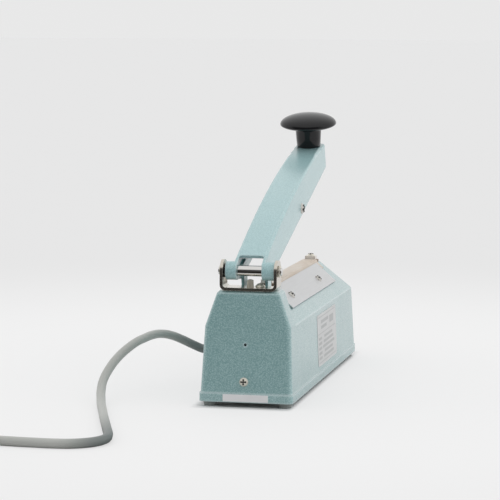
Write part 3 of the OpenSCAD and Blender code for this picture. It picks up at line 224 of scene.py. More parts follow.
bm = bmesh.new()
wire_at = Matrix.Translation(SPRING_AXIS + Vector((SPRING_R, 0, SPRING_FOOT + WIRE_R)))
upright = Matrix.Rotation(math.pi / 2, 4, "X")
wire = bmesh.ops.create_circle(bm, cap_ends=False, segments=WIRE_SIDES, radius=WIRE_R,
                               matrix=wire_at @ upright)
rim = list({e for v in wire["verts"] for e in v.link_edges})
rise = (SPRING_TOP - SPRING_FOOT - 2 * WIRE_R) / STEPS
bmesh.ops.spin(bm, geom=wire["verts"] + rim, cent=SPRING_AXIS, axis=(0, 0, 1), dvec=(0, 0, rise),
               angle=2 * math.pi * SPRING_TURNS, steps=STEPS)
bmesh.ops.holes_fill(bm, edges=[e for e in bm.edges if len(e.link_faces) == 1])
spring = finished(bm, "spring_wire", "base")
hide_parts("return_spring")
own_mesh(spring)
print("spring:", len(spring.data.polygons), "faces")

# %% [markdown]
# The knob
#
# A palm presses on this knob, so its cap is a smooth lens on a short neck. Half of its outline, spun
# about the knob's own axis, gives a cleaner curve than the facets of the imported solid. The axis stands
# square on the arched arm, so it leans back a little while the arm is open.

# %% Knob
OPEN = math.radians(16.2)
HINGE = Vector((-142.78, 0, 104)) * MM
ARCH_R = 1150
ARCH_U = 142
ARCH_V = 17.4
KNOB_U = 261.5
KNOB_LEAN = math.asin((KNOB_U - ARCH_U) / ARCH_R)
KNOB_V = ARCH_V - ARCH_R + math.sqrt(ARCH_R ** 2 - (KNOB_U - ARCH_U) ** 2)
NECK = [(0, 0.1), (10, 0.1), (10.25, 0.4), (10.7, 8), (11.15, 14.5), (11.6, 15.6), (12.6, 16.2)]
CAP_R = 24.35
RIM_H = 20.3
CROWN = 8.8
BELLY = 4.8
KNOB_STEPS = 72
on_arm = Matrix.Translation(HINGE) @ Matrix.Rotation(-OPEN, 4, "Y")
knob_foot = Matrix.Translation(Vector((KNOB_U, 0, KNOB_V)) * MM)
on_knob = on_arm @ knob_foot @ Matrix.Rotation(KNOB_LEAN, 4, "Y")
outline = list(NECK)
for degrees in range(-54, 91, 6):
    a = math.radians(degrees)
    bulge = BELLY if degrees < 0 else CROWN
    outline.append((CAP_R * math.cos(a), RIM_H + bulge * math.sin(a)))
bm = bmesh.new()
half = [bm.verts.new(on_knob @ (Vector((r, 0, h)) * MM)) for r, h in outline]
edges = [bm.edges.new(pair) for pair in zip(half, half[1:])]
bmesh.ops.spin(bm, geom=half + edges, cent=on_knob.translation, axis=on_knob.to_3x3().col[2],
               steps=KNOB_STEPS, angle=2 * math.pi)
knob = finished(bm, "smooth_knob", "arm")
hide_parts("knob")
print("knob:", len(knob.data.polygons), "faces")

# %% [markdown]
# Marks on the dial
#
# The timer needs something to point at: nine ticks with plain numbers round the scale and a white line
# on the dial. Each mark is made flat at the origin and then moved by one matrix that stands on the
# sloping front face.

# %% Marks
END_TILT = 5.84457
FRONT_TILT = math.radians(END_TILT)
DIAL_CENTRE = Vector((141.345, 0, 34))
SCALE_TOP = 0.82
DIAL_TOP = 17.32
DIAL_SWEEP = 270
NUMBERS = 9
TICK_R = 16.6
TICK_SIZE = (0.5, 1.8, 0.06)
NUMERAL_R = 19.1
NUMERAL_H = 3.2
NUMERAL_DEPTH = 0.02
POINTER_R = 7.5
POINTER_SIZE = (1.0, 11, 0.08)
on_front = Matrix(((0, -math.sin(FRONT_TILT), math.cos(FRONT_TILT)), (1, 0, 0),
                   (0, math.cos(FRONT_TILT), math.sin(FRONT_TILT)))).to_4x4()
on_front = Matrix.Translation(DIAL_CENTRE * MM) @ on_front


def dial_place(degrees, radius, height):
    """A matrix on the front face, so many degrees clockwise from the top of the dial."""
    turned = on_front @ Matrix.Rotation(-math.radians(degrees), 4, "Z")
    return turned @ Matrix.Translation(Vector((0, radius, height)) * MM)


def add_bar(bm, place, size):
    """A flat bar of a size in millimetres, centred on a place."""
    bmesh.ops.create_cube(bm, size=1.0, matrix=place @ Matrix.Diagonal((*(Vector(size) * MM), 1)))


def add_numeral(bm, place, number, height):
    """A plain number as thin mesh, made from a text object that is then thrown away."""
    text = bpy.data.curves.new("numeral", "FONT")
    text.body = str(number)
    text.align_x = "CENTER"
    text.align_y = "CENTER"
    text.size = 1.0
    text.extrude = NUMERAL_DEPTH
    holder = bpy.data.objects.new("numeral", text)
    scene.collection.objects.link(holder)
    bpy.context.view_layer.update()
    evaluated = holder.evaluated_get(bpy.context.evaluated_depsgraph_get())
    shape = bpy.data.meshes.new_from_object(evaluated)
    before = len(bm.verts)
    bm.from_mesh(shape)
    bm.verts.ensure_lookup_table()
    bmesh.ops.transform(bm, matrix=place @ Matrix.Scale(height * MM, 4), verts=bm.verts[before:])
    bpy.data.objects.remove(holder)
    bpy.data.curves.remove(text)
    bpy.data.meshes.remove(shape)


marks = bmesh.new()
for number in range(NUMBERS):
    degrees = DIAL_SWEEP * (number / (NUMBERS - 1) - 0.5)
    add_bar(marks, dial_place(degrees, TICK_R, SCALE_TOP), TICK_SIZE)
    add_numeral(marks, dial_place(degrees, NUMERAL_R, SCALE_TOP), number, NUMERAL_H)
scale_marks = finished(marks, "scale_marks", "base", smooth=False)
pointer = bmesh.new()
add_bar(pointer, dial_place(-DIAL_SWEEP / 2, POINTER_R, DIAL_TOP), POINTER_SIZE)
dial_pointer = finished(pointer, "dial_pointer", "dial", smooth=False)
print("marks:", len(scale_marks.data.polygons), "faces")

# %% [markdown]
# Screw recesses
#
# A cross recess is too shallow to look dark by itself, so a dark cross lies in each one that shows:
# painted shade, in place of the shade deep in a real recess. Its matrix stands on the same face as the
# screw: the rear face, the two roofs, the terminals and the sides of the arm.

# %% Recesses
RIDGE_Z = 81
RIDGE_HW = 7
LIP_STEP = 0.8
SHOULDER_SET = 6
HEAD_D = 7
HEAD_H = 2.2
REAR_SCREW_Y = 1.6
REAR_SCREW_Z = 15.8
PLATE_SCREW_XS = (92, 215)
PLATE_SCREW_DOWN = 13.4
PLATE_GAP = 0.4
PLATE_T = 1.1
TERMINAL_XS = (84, 279.5)
BAR_H = 2.2
ELEMENT_T = 0.25
TERMINAL_H = 3
TERMINAL_HEAD_D = 6.6
SIDE_SCREW_AT = (155, 12.2, -6.5)
SIDE_HEAD_D = 9.6
CROSS_L = 0.66
CROSS_W = 0.2
CROSS_H = 0.6
CROSS_UP = 0.62
ROOF = math.atan2(RIDGE_Z - SHOULDER_Z, SHOULDER_HW - RIDGE_HW)
ROOF_L = math.hypot(RIDGE_Z - SHOULDER_Z, SHOULDER_HW - RIDGE_HW)
at_rear_lip = Matrix.Translation(REAR_LIP * MM)
mirrored_y = Matrix.Scale(-1, 4, (0, 1, 0))
both_sides = (Matrix(), mirrored_y)


def standing(place, axis, degrees):
    """A matrix for a place in millimetres, turned about one axis."""
    return Matrix.Translation(Vector(place) * MM) @ Matrix.Rotation(math.radians(degrees), 4, axis)


def roof_place(x, down, lift):
    """A place on the left roof: a distance down from the ridge, and a lift off the roof."""
    s = ROOF_L - down
    y = SHOULDER_HW - s * math.cos(ROOF) + lift * math.sin(ROOF)
    z = SHOULDER_Z + s * math.sin(ROOF) + lift * math.cos(ROOF)
    return standing((x, y, z), "X", -math.degrees(ROOF))


def add_cross(bm, place, head_d, head_h):
    """Two bars that cross, sized and placed as shares of a screw head."""
    for degrees in (0, 90):
        arm_place = place @ standing((0, 0, CROSS_UP * head_h), "Z", degrees)
        add_bar(bm, arm_place, (CROSS_L * head_d, CROSS_W * head_d, CROSS_H * head_h))


rear_slope = (SHOULDER_SET - LIP_STEP) / (SHOULDER_Z - LIP_H)
rear_set = LIP_STEP + rear_slope * (REAR_SCREW_Z - LIP_H)
heads = [(standing((rear_set, REAR_SCREW_Y, REAR_SCREW_Z), "Y", END_TILT - 90), HEAD_D)]
plate_top = PLATE_GAP + PLATE_T
for side in both_sides:
    heads += [(side @ roof_place(x, PLATE_SCREW_DOWN, plate_top), HEAD_D) for x in PLATE_SCREW_XS]
terminal_top = RIDGE_Z + BAR_H + ELEMENT_T + TERMINAL_H
heads += [(standing((x, 0, terminal_top), "Z", 0), TERMINAL_HEAD_D) for x in TERMINAL_XS]
crosses = bmesh.new()
for place, head_d in heads:
    add_cross(crosses, at_rear_lip @ place, head_d, HEAD_H)
base_crosses = finished(crosses, "base_crosses", "base", smooth=False)
crosses = bmesh.new()
for side in both_sides:
    add_cross(crosses, on_arm @ side @ standing(SIDE_SCREW_AT, "X", -90), SIDE_HEAD_D, HEAD_H)
arm_crosses = finished(crosses, "arm_crosses", "arm", smooth=False)
print("crosses:", len(heads) + len(both_sides))

# %% [markdown]
# Label lines
#
# The label on the side is a blank form: a frame, a heading and a few rows, ruled in grey with the same
# flat bars as the ticks. Each bar is given by its middle, its length and its width.

# %% Label lines
LABEL_X = 120
LABEL_Z = (LIP_H + SHOULDER_Z) / 2
LINE_LIFT = 0.24
LINE_T = 0.05
FORM_ROWS = 5
ROW_PITCH = 4
on_side = standing((LABEL_X, side_hw(LABEL_Z), LABEL_Z), "X", math.degrees(side_tilt) - 90)
on_label = at_rear_lip @ mirrored_y @ on_side
rows = [(44, -18.5, 82, 0.5), (44, 18.5, 82, 0.5), (44, -5, 82, 0.5)]
rows += [(34, -14.2, 34, 2.6), (30, -9.6, 26, 2.6), (66, -12, 18, 6)]
for i in range(FORM_ROWS):
    down = ROW_PITCH * i - 1
    rows += [(12, down, 14, 2.2), (50, down, 38 + 8 * (i % 3), 2.2)]
ruled = bmesh.new()
for x, y, length, width in rows:
    on_line = on_label @ Matrix.Translation(Vector((x, y, LINE_LIFT)) * MM)
    add_bar(ruled, on_line, (length, width, LINE_T))
label_lines = finished(ruled, "label_lines", "base", smooth=False)
print("label lines:", len(rows))

# %% [markdown]
# The cover sheet
#
# A strip of coated glass cloth is stretched over the sealing bar, and its long edges are held under the
# clamp plates. A box would look too stiff. So an outline of six points is drawn across the bar and
# extruded along it, its folds are rounded with a bevel, shallow ripples loosen its top, and the wall
# thickness comes last.

# %% Cover sheet
COVER_START = 89.5
COVER_L = 184.5
COVER_TOP = 83.88
COVER_HW = 6.25
CLOTH_T = 0.26
SKIRT_W = 7
SKIRT_LIFT = 0.38
FOLD_R = 0.7
TOP_CUTS = 5
LENGTH_CUTS = 90
RIPPLE = 0.09
RIPPLE_GAIN = 1.6
RIPPLES_ALONG = 70
RIPPLES_ACROSS = 160
RIPPLE_LAYER = 3.1
left_half = [roof_place(COVER_START, down, SKIRT_LIFT).translation / MM for down in (SKIRT_W, 0)]
left_half += [Vector((COVER_START, COVER_HW, COVER_TOP))]
right_half = [Vector((p.x, -p.y, p.z)) for p in reversed(left_half)]
across_bar = left_half + right_half
cloth = bmesh.new()
row = [cloth.verts.new((p + REAR_LIP) * MM) for p in across_bar]
start_edges = [cloth.edges.new(pair) for pair in zip(row, row[1:])]
drawn = bmesh.ops.extrude_edge_only(cloth, edges=start_edges)["geom"]
far_row = [v for v in drawn if isinstance(v, bmesh.types.BMVert)]
bmesh.ops.translate(cloth, verts=far_row, vec=(COVER_L * MM, 0, 0))
folds = [e for e in cloth.edges if len(e.link_faces) == 2]
bmesh.ops.bevel(cloth, geom=folds, offset=FOLD_R * MM, offset_type="OFFSET", affect="EDGES",
                segments=4, profile=0.5, material=-1)
top_face = max(cloth.faces, key=lambda face: face.calc_center_median().z)
flat_ends = [e for e in top_face.edges if abs(e.verts[0].co.y - e.verts[1].co.y) > MM]
bmesh.ops.subdivide_edges(cloth, edges=flat_ends, cuts=TOP_CUTS, use_grid_fill=True)
lengthwise = [e for e in cloth.edges if abs(e.verts[0].co.x - e.verts[1].co.x) > MM]
bmesh.ops.subdivide_edges(cloth, edges=lengthwise, cuts=LENGTH_CUTS, use_grid_fill=True)
for v in cloth.verts:
    if v.co.z > (COVER_TOP + REAR_LIP.z - 0.05) * MM:
        spot = Vector((v.co.x * RIPPLES_ALONG, v.co.y * RIPPLES_ACROSS, RIPPLE_LAYER))
        wave = max(-1, min(1, RIPPLE_GAIN * noise.noise(spot)))
        v.co.z -= RIPPLE * MM * (0.5 + 0.5 * wave)
bmesh.ops.recalc_face_normals(cloth, faces=cloth.faces)
bmesh.ops.solidify(cloth, geom=cloth.faces, thickness=CLOTH_T * MM)
cover = finished(cloth, "cover_cloth", "base")
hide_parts("cover_sheet")

# %% [markdown]
# Materials as expressions
#
# A finish is a small network of nodes. Wiring them by hand is long and hard to read, so one class
# wraps a socket and lets us write sums and products as plain Python. A second class holds the node
# tree and adds any node by its type. The studio's world uses it as well.

# %% Shader expressions
class Wire:
    """An output socket that takes part in sums. Each operator adds one Math node."""

    def __init__(self, network, socket):
        self.network = network
        self.socket = socket

    def calc(self, operation, *values):
        return self.network.node("ShaderNodeMath", {"operation": operation}, dict(enumerate(values)))

    def __add__(self, other):
        return self.calc("ADD", self, other)

    def __sub__(self, other):
        return self.calc("SUBTRACT", self, other)

    def __rsub__(self, other):
        return self.calc("SUBTRACT", other, self)

    def __mul__(self, other):
        return self.calc("MULTIPLY", self, other)

    def __abs__(self):
        return self.calc("ABSOLUTE", self)


class Network:
    """A node tree that is written as expressions."""

    def __init__(self, tree):
        self.tree = tree

    def node(self, kind, settings, sockets, out=0):
        made = self.tree.nodes.new(kind)
        for key, value in settings.items():
            setattr(made, key, value)
        for key, value in sockets.items():
            self.feed(made.inputs[key], value)
        return Wire(self, made.outputs[out])

    def feed(self, socket, value):
        """Links a wire to a socket, or sets a plain value there."""
        if isinstance(value, Wire):
            self.tree.links.new(value.socket, socket)
        elif socket.type == "RGBA":
            socket.default_value = (*value, 1)
        else:
            socket.default_value = value

    def axis(self, where, letter):
        return self.node("ShaderNodeSeparateXYZ", {}, {0: where}, letter)

    def ranged(self, value, span, to=(0.0, 1.0)):
        """Eases from one value to another while the input crosses a span."""
        sockets = {"Value": value, "From Min": span[0], "From Max": span[1]}
        sockets.update({"To Min": to[0], "To Max": to[1]})
        return self.node("ShaderNodeMapRange", {"interpolation_type": "SMOOTHSTEP"}, sockets)

    def ray(self, kind):
        """1 for rays of one kind, such as those that come straight from the camera."""
        return self.node("ShaderNodeLightPath", {}, {}, kind)

    def either_shader(self, factor, first, second):
        return self.node("ShaderNodeMixShader", {}, {0: factor, 1: first, 2: second})

    def show(self, shader):
        """Feeds a shader to the output node of the tree."""
        output = next(n for n in self.tree.nodes if n.type.startswith("OUTPUT"))
        self.feed(output.inputs["Surface"], shader)


print("expressions ready")

# %% [markdown]
# A finish
#
# A finish is a network that ends in one Principled shader. Its methods are the few patterns that all
# our materials share. Object coordinates keep each pattern on its piece while the piece moves.

# %% Finish
class Finish(Network):
    """A material of this object, built from nodes."""

    def __init__(self, name):
        self.material = bpy.data.materials.new(name)
        self.material.use_nodes = True
        super().__init__(self.material.node_tree)
        self.shader = next(n for n in self.tree.nodes if n.type == "BSDF_PRINCIPLED")

    def place(self):
        return self.node("ShaderNodeTexCoord", {}, {}, "Object")

    def stretched(self, scale):
        """Object coordinates stretched along the axes, for grain that runs one way."""
        return self.node("ShaderNodeMapping", {}, {"Vector": self.place(), "Scale": scale})

    def noise(self, where, scale, detail=2.0):
        return self.node("ShaderNodeTexNoise", {}, {"Vector": where, "Scale": scale, "Detail": detail})

    def cells(self, where, scale):
        sockets = {"Vector": where, "Scale": scale}
        return self.node("ShaderNodeTexVoronoi", {"feature": "SMOOTH_F1"}, sockets, "Distance")

    def waves(self, where, direction):
        sockets = {"Vector": where, "Scale": 260, "Distortion": 0.4}
        return self.node("ShaderNodeTexWave", {"bands_direction": direction}, sockets)

    def mixed(self, factor, first, second):
        sockets = {0: factor, 6: first, 7: second}
        return self.node("ShaderNodeMix", {"data_type": "RGBA"}, sockets, 2)

    def glow(self, colour):
        return self.node("ShaderNodeEmission", {}, {"Color": colour, "Strength": 1.0})

    def soft_edge(self, radius):
        return self.node("ShaderNodeBevel", {"samples": 6}, {"Radius": radius})

    def worn_edge(self, radius):
        """Near 1 along sharp edges, where the rounded normal leaves the true one, and 0 on flat faces."""
        flat = self.node("ShaderNodeNewGeometry", {}, {}, "True Normal")
        agree = self.node("ShaderNodeVectorMath", {"operation": "DOT_PRODUCT"},
                          {0: flat, 1: self.soft_edge(radius)}, "Value")
        return self.ranged(1 - agree, (0.005, 0.07))

    def bump(self, height, strength, distance, edge=None):
        sockets = {"Height": height, "Strength": strength, "Distance": distance}
        if edge:
            sockets["Normal"] = self.soft_edge(edge)
        return self.node("ShaderNodeBump", {}, sockets)

    def surface(self, **inputs):
        """Feeds the Principled shader: Base_Color=... goes to its socket Base Color."""
        for name, value in inputs.items():
            self.feed(self.shader.inputs[name.replace("_", " ")], value)
        return self.material


MIDTONES = (0.3, 0.7)
print("finish ready")

# %% [markdown]
# Hammered paint
#
# The casing and the arm wear hammertone paint: a pebbled enamel with small pale cells between darker
# valleys. Cells from a smooth Voronoi pattern, broken up by noise, give both the colour and the bump.
# Castings have soft edges, so a Bevel node rounds the shading there without touching the mesh. The
# same node finds the edges, and there the colour is lightened: a painted highlight where the rounded
# edges catch the light.

# %% Hammered paint
EDGE_HIGHLIGHT = (0.62, 0.78, 0.79)


def hammered_paint(name, valley, crest, edge, gloss):
    f = Finish(name)
    spot = f.place()
    pebbles = f.cells(spot, scale=1150)
    drift = f.noise(spot, scale=1400)
    patch = f.noise(spot, scale=22, detail=3.0)
    height = (1 - pebbles) * 0.7 + drift * 0.6
    tone = f.ranged(height, (0.55, 0.95))
    colour = f.mixed(tone * 0.85 + patch * 0.15, valley, crest)
    # painted highlight: the colour is lightened along the edges, where rounded edges catch the light
    colour = f.mixed(f.worn_edge(edge) * 0.85, colour, EDGE_HIGHLIGHT)
    return f.surface(Base_Color=colour, Roughness=f.ranged(patch, MIDTONES, (0.32, 0.42)),
                     Normal=f.bump(height, strength=0.3, distance=0.0003, edge=edge),
                     Coat_Weight=1.0, Coat_Roughness=0.26, Coat_IOR=gloss)


CASING_PAINT = hammered_paint("casing_paint", valley=(0.204, 0.364, 0.371), crest=(0.39, 0.578, 0.582),
                              edge=0.0025, gloss=1.75)
# The arm wears the same paint as the casing. Its lighter colours are painted light, to brighten its top
# and the shade under the knob.
LIGHTER_ARM_PAINT = hammered_paint("arm_paint", valley=(0.3, 0.505, 0.522), crest=(0.46, 0.675, 0.693),
                           edge=0.0012, gloss=1.5)
print("paint mixed")

# %% [markdown]
# Metals
#
# Plated steel is smooth, and only faint smears and brush lines show that it isn't a mirror. Brushed
# metal gets noise that is stretched along the brush, so that highlights break up into fine lines. The
# two numbers after each colour are the lowest and the highest roughness.

# %% Metals
def plated(name, colour, rough, edge=0.0003, streak=(1, 1, 1), metal=1.0):
    f = Finish(name)
    grain = f.noise(f.stretched(streak), scale=900, detail=3.0)
    smear = f.noise(f.place(), scale=60, detail=3.0)
    return f.surface(Base_Color=f.mixed(smear, [c * 0.86 for c in colour], colour), Metallic=metal,
                     Roughness=f.ranged(grain * 0.5 + smear * 0.5, MIDTONES, rough),
                     Normal=f.bump(grain, strength=0.08, distance=0.00008, edge=edge))


ALONG_X = (0.03, 1, 1)
NICKEL = plated("nickel", (0.74, 0.7, 0.62), (0.12, 0.26), edge=0.0004)
CHROME = plated("chrome", (0.82, 0.81, 0.79), (0.04, 0.1), edge=0.0002, streak=(1, 0.05, 1))
SCREW_STEEL = plated("screw_steel", (0.66, 0.64, 0.6), (0.2, 0.36), edge=0.0002)
SHEET_STEEL = plated("sheet_steel", (0.55, 0.55, 0.54), (0.3, 0.45), streak=(0.05, 1, 1))
ALUMINIUM = plated("aluminium", (0.72, 0.725, 0.73), (0.34, 0.5), streak=ALONG_X, metal=0.5)
SCALE_METAL = plated("scale_metal", (0.76, 0.76, 0.77), (0.36, 0.5), edge=0.0002, streak=(1, 0.04, 1))
BRASS = plated("brass", (0.72, 0.5, 0.28), (0.2, 0.38))
SATIN_NICKEL = plated("satin_nickel", (0.86, 0.82, 0.72), (0.3, 0.45), streak=(1, 1, 0.1), metal=0.6)
TINNED = plated("tinned", (0.93, 0.89, 0.83), (0.4, 0.55), metal=0.1)
HEATER_METAL = plated("heater_metal", (0.48, 0.46, 0.44), (0.3, 0.5), edge=0.0001, streak=ALONG_X)
BLADE_METAL = plated("blade_metal", (0.78, 0.74, 0.62), (0.2, 0.35))
CORE_STEEL = plated("core_steel", (0.24, 0.24, 0.25), (0.45, 0.6), streak=(1, 40, 0.2))
print("metals polished")

# %% [markdown]
# Plastics and rubber
#
# Moulded plastic has a fine skin and slow changes of gloss. The same recipe, with other colours and
# grain, makes rubber, label film and the circuit board.

# %% Plastics and rubber
def moulded(name, colour, rough, pores=1800, grain=0.06, edge=0.0004, coat=0.0, shine=0.5):
    f = Finish(name)
    skin = f.noise(f.place(), pores)
    cloud = f.noise(f.place(), scale=35, detail=3.0)
    darker = [c * 0.85 for c in colour]
    lighter = [min(1, c * 1.12) for c in colour]
    return f.surface(Base_Color=f.mixed(cloud, darker, lighter),
                     Roughness=f.ranged(cloud * 0.6 + skin * 0.4, MIDTONES, rough),
                     Normal=f.bump(skin, grain, distance=0.0001, edge=edge),
                     Coat_Weight=coat, Coat_Roughness=0.05, Specular_IOR_Level=shine)


KNOB_BLACK = moulded("knob_black", (0.009, 0.009, 0.01), (0.06, 0.11), pores=300, grain=0.012,
                     edge=0.0006, shine=0.4)
DARK_PLASTIC = moulded("dark_plastic", (0.035, 0.036, 0.038), (0.35, 0.5))
SPACER_NYLON = moulded("spacer_nylon", (0.016, 0.016, 0.017), (0.35, 0.5))
FOOT_RUBBER = moulded("foot_rubber", (0.3, 0.315, 0.305), (0.55, 0.75), pores=1200, grain=0.15)
SILICONE = moulded("silicone", (0.42, 0.42, 0.41), (0.45, 0.6), pores=1500, grain=0.1)
LABEL_FILM = moulded("label_film", (0.82, 0.82, 0.83), (0.3, 0.42), pores=900, grain=0.03, edge=0.0001)
FORM_FILM = moulded("form_film", (0.63, 0.635, 0.635), (0.35, 0.5), pores=900, grain=0.03, edge=0.0001)
FORM_GREY = moulded("form_grey", (0.47, 0.48, 0.48), (0.4, 0.55))
# painted shade for the screw recesses
RECESS_SHADE = moulded("recess_dark", (0.03, 0.03, 0.028), (0.5, 0.7))
INSULATOR = moulded("insulator", (0.25, 0.15, 0.09), (0.45, 0.6), pores=900, grain=0.12)
NATURAL_NYLON = moulded("natural_nylon", (0.72, 0.68, 0.58), (0.4, 0.55))
BOARD_GREEN = moulded("board_green", (0.03, 0.17, 0.07), (0.35, 0.5), pores=2400, grain=0.12)
RELAY_BLUE = moulded("relay_blue", (0.03, 0.1, 0.3), (0.3, 0.45))
CAPACITOR_SLEEVE = moulded("capacitor_sleeve", (0.02, 0.035, 0.08), (0.25, 0.4))
WINDING_TAPE = moulded("winding_tape", (0.6, 0.36, 0.06), (0.3, 0.45), pores=500, grain=0.1)
PLUG_GREY = moulded("plug_grey", (0.38, 0.385, 0.36), (0.38, 0.52), pores=1500, grain=0.1, edge=0.0012)
LAMP_RED = moulded("lamp_red", (0.55, 0.03, 0.015), (0.08, 0.16), pores=600, grain=0.02, edge=0.0003,
                   coat=0.5)
print("plastics moulded")

# %% [markdown]
# Cord sleeve and coated cloth
#
# The cord's grey sleeve is darker near the casing, where the casing shades it. That shade is painted:
# the colour follows the distance to that side. The cloth over the sealing bar keeps the hot strip from
# sticking to the film. Its weave is two sets of fine waves that cross, and heat has tanned it in patches.

# %% Cord sleeve and coated cloth
def soiled_cord(name, unshaded, painted_shade):
    f = Finish(name)
    skin = f.noise(f.place(), scale=1500)
    # painted shade: the sleeve darkens towards the casing, whose shadow falls on it
    colour = f.mixed(f.ranged(f.axis(f.place(), "Y"), (0.06, 0.094)), painted_shade, unshaded)
    return f.surface(Base_Color=colour, Roughness=f.ranged(skin, MIDTONES, (0.38, 0.52)),
                     Normal=f.bump(skin, strength=0.08, distance=0.0001))


def coated_cloth(name, fresh, tanned, thread):
    f = Finish(name)
    spot = f.place()
    weave = f.waves(spot, "X") * 0.5 + f.waves(spot, "Y") * 0.5
    scorch = f.noise(f.stretched((14, 60, 60)), scale=1, detail=3.0)
    tan = f.mixed(f.ranged(scorch, (0.35, 0.7)), fresh, tanned)
    return f.surface(Base_Color=f.mixed(weave * 0.3, tan, thread), Roughness=weave * 0.12 + 0.42,
                     Normal=f.bump(weave, strength=0.25, distance=0.0001, edge=0.0004),
                     Sheen_Weight=0.1)


CORD_GREY = soiled_cord("cord_grey", unshaded=(0.47, 0.48, 0.455), painted_shade=(0.155, 0.178, 0.173))
COVER_CLOTH = coated_cloth("cover_cloth", fresh=(0.71, 0.63, 0.54), tanned=(0.59, 0.47, 0.36),
                           thread=(0.8, 0.74, 0.66))
print("sleeve coloured, cloth woven")

# %% [markdown]
# Painting the pieces
#
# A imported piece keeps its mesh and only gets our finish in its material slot. One table says which
# finish goes on which pieces, and a check at the end makes sure that none was forgotten.

# %% Finishes on the pieces
FINISHES = [
    (CASING_PAINT, "casing"),
    (LIGHTER_ARM_PAINT, "arm_channel"),
    (NICKEL, "hinge_bracket"),
    (CHROME, "hinge_pin"),
    (SATIN_NICKEL, "bracket_dowel bracket_screw pin_clips rear_screw terminal_screws"),
    (SCREW_STEEL, "foot_screws side_screws knob_screw clamp_plate_screws switch_bracket_screws"),
    (SCREW_STEEL, "microswitch_screws transformer_screws board_screws potentiometer_nut"),
    (SCREW_STEEL, "dial_shaft cross_bar plunger switch_lever"),
    (SHEET_STEEL, "bottom_plate switch_bracket transformer_frame potentiometer"),
    (ALUMINIUM, "left_clamp_plate right_clamp_plate pressure_bar"),
    (SCALE_METAL, "dial_scale"),
    (TINNED, "terminals"),
    (BRASS, "terminal_nuts"),
    (HEATER_METAL, "heating_element"),
    (BLADE_METAL, "plug_blades"),
    (CORE_STEEL, "transformer_core"),
    (KNOB_BLACK, "timer_dial"),
    (DARK_PLASTIC, "microswitch lamp_holder coil_tie"),
    (SPACER_NYLON, "hinge_spacer"),
    (FOOT_RUBBER, "rubber_feet"),
    (SILICONE, "silicone_strip"),
    (LABEL_FILM, "rear_label"),
    (FORM_FILM, "side_label"),
    (INSULATOR, "sealing_bar"),
    (NATURAL_NYLON, "guide_bush board_standoffs"),
    (BOARD_GREEN, "circuit_board terminal_block"),
    (RELAY_BLUE, "relay"),
    (CAPACITOR_SLEEVE, "capacitors"),
    (WINDING_TAPE, "transformer_winding"),
    (PLUG_GREY, "plug_body strain_relief"),
    (LAMP_RED, "lamp_lens"),
]
OWN_PIECES = [(cord, CORD_GREY), (spring, SHEET_STEEL), (knob, KNOB_BLACK), (cover, COVER_CLOTH),
              (scale_marks, DARK_PLASTIC), (dial_pointer, LABEL_FILM), (base_crosses, RECESS_SHADE),
              (arm_crosses, RECESS_SHADE), (label_lines, FORM_GREY)]


def dress(piece, finish):
    piece.data.materials.clear()
    piece.data.materials.append(finish)


dressed = {"cord", "cord_coil", "return_spring", "knob", "cover_sheet"}
for finish, names in FINISHES:
    for name in names.split():
        dress(nodes[name], finish)
        dressed.add(name)
for piece, finish in OWN_PIECES:
    dress(piece, finish)
print("pieces without a finish:", sorted(set(nodes) - dressed))

# %% [markdown]
# The table
#
# A plain pale table runs back to a horizon that looks just like it, so the object seems to stand in a
# bright white studio. For the camera alone, part of its shading is replaced by a glow, which fades out
# under the casing so that the contact shadow stays. That glow is brighter near the sealer, a painted
# pool of light. In reflections alone its near end is dark, which gives polished metal something to
# stand out against.

# %% Table
TABLE_HALF = 40
TABLE_NEAR = 0.75
UNDER_X = (0.162, 0.17)
UNDER_Y = (0.035, 0.0415)
UNDER_Y_MIDDLE = 0.0025
FADE_OUT = (1.0, 0.0)
PAINTED_POOL_REACH = (0.3, 1.0)
NEAR_END = (-0.27, -0.2)
EVENED = 0.65
bm = bmesh.new()
bmesh.ops.create_grid(bm, x_segments=1, y_segments=1, size=TABLE_HALF)
bmesh.ops.translate(bm, verts=bm.verts, vec=(TABLE_HALF - TABLE_NEAR, 0, 0))
table_mesh = bpy.data.meshes.new("table")
bm.to_mesh(table_mesh)
bm.free()
table = bpy.data.objects.new("table", table_mesh)
scene.collection.objects.link(table)
top = Finish("table_paint")
spot = top.place()
haze = top.noise(spot, scale=6)
top.surface(Base_Color=top.mixed(haze, (0.79, 0.79, 0.795), (0.8, 0.8, 0.8)), Roughness=0.7,
            Specular_IOR_Level=0.2)
along = top.axis(spot, "X")
across = top.axis(spot, "Y")
under = (top.ranged(abs(along), UNDER_X, FADE_OUT)
         * top.ranged(abs(across - UNDER_Y_MIDDLE), UNDER_Y, FADE_OUT))
far = top.node("ShaderNodeVectorMath", {"operation": "LENGTH"}, {0: spot}, "Value")
# painted light: a pool of brighter glow round the sealer, fading to the plain tone farther off
painted_light_pool = top.mixed(top.ranged(far, PAINTED_POOL_REACH), (0.93, 0.93, 0.93), (0.8, 0.8, 0.8))
lit_top = Wire(top, top.shader.outputs[0])
evened = top.either_shader(top.ray("Is Camera Ray") * (EVENED - under * EVENED), lit_top, top.glow(painted_light_pool))
near_end = top.ranged(along, NEAR_END, FADE_OUT)
dark_end = top.glow((0.02, 0.018, 0.015))
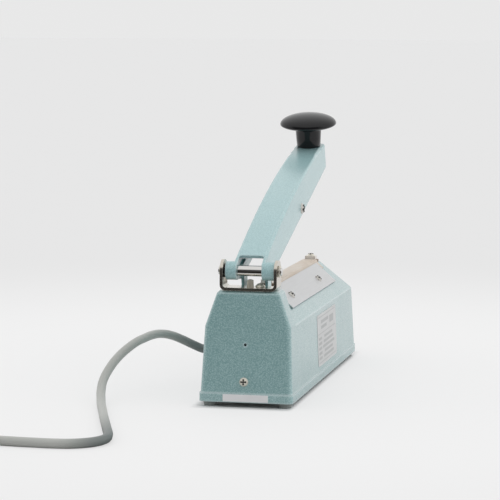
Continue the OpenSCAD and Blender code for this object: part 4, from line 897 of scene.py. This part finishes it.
top.show(top.either_shader(top.ray("Is Glossy Ray") * near_end, evened, dark_end))
dress(table, top.material)
print("table laid")

# %% [markdown]
# Studio light
#
# The room is bright all round and darker only behind the photographer. Polished parts need that: it
# draws the dark band across the chrome pin and makes the black knob look black. The camera sees a plain
# pale wall instead. One broad lamp from the right gives the light a direction.

# %% Studio light
BEHIND = (-0.75, -0.25)
OVERHEAD = (0.2, 0.5)
DIMMEST = 0.06
MIRROR_DROP = 0.15
MIRROR_DIM = 0.13
LAMP_STRENGTH = 0.2
LAMP_SPREAD = 50
LAMP_TOWARDS = Vector((0.02, 0.85, -0.6))
world = bpy.data.worlds.new("studio")
scene.world = world
world.use_nodes = True
studio = Network(world.node_tree)
studio.tree.nodes.clear()
studio.tree.nodes.new("ShaderNodeOutputWorld")
direction = studio.node("ShaderNodeTexCoord", {}, {}, "Generated")
mirrored = studio.ray("Is Glossy Ray")
ahead = studio.ranged(studio.axis(direction, "X"), BEHIND)
above = studio.ranged(studio.axis(direction, "Z") - mirrored * MIRROR_DROP, OVERHEAD)
lit = studio.node("ShaderNodeMath", {"operation": "MAXIMUM"}, {0: ahead, 1: above})
brightest = 1 - mirrored * MIRROR_DIM
strength = studio.node("ShaderNodeMapRange", {}, {"Value": lit, "To Min": DIMMEST, "To Max": brightest})
room = studio.node("ShaderNodeBackground", {}, {"Color": (1, 1, 1), "Strength": strength})
wall = studio.node("ShaderNodeBackground", {}, {"Color": (0.81, 0.81, 0.81), "Strength": 1.0})
studio.show(studio.either_shader(studio.ray("Is Camera Ray"), room, wall))
lamp = bpy.data.objects.new("key_lamp", bpy.data.lights.new("key_lamp", "SUN"))
lamp.data.energy = LAMP_STRENGTH
lamp.data.angle = math.radians(LAMP_SPREAD)
lamp.rotation_mode = "QUATERNION"
lamp.rotation_quaternion = LAMP_TOWARDS.to_track_quat("-Z", "Y")
lamp.visible_glossy = False
scene.collection.objects.link(lamp)
print("studio lit")

# %% Final settings
bpy.context.view_layer.update()
scene.view_settings.view_transform = "Standard"
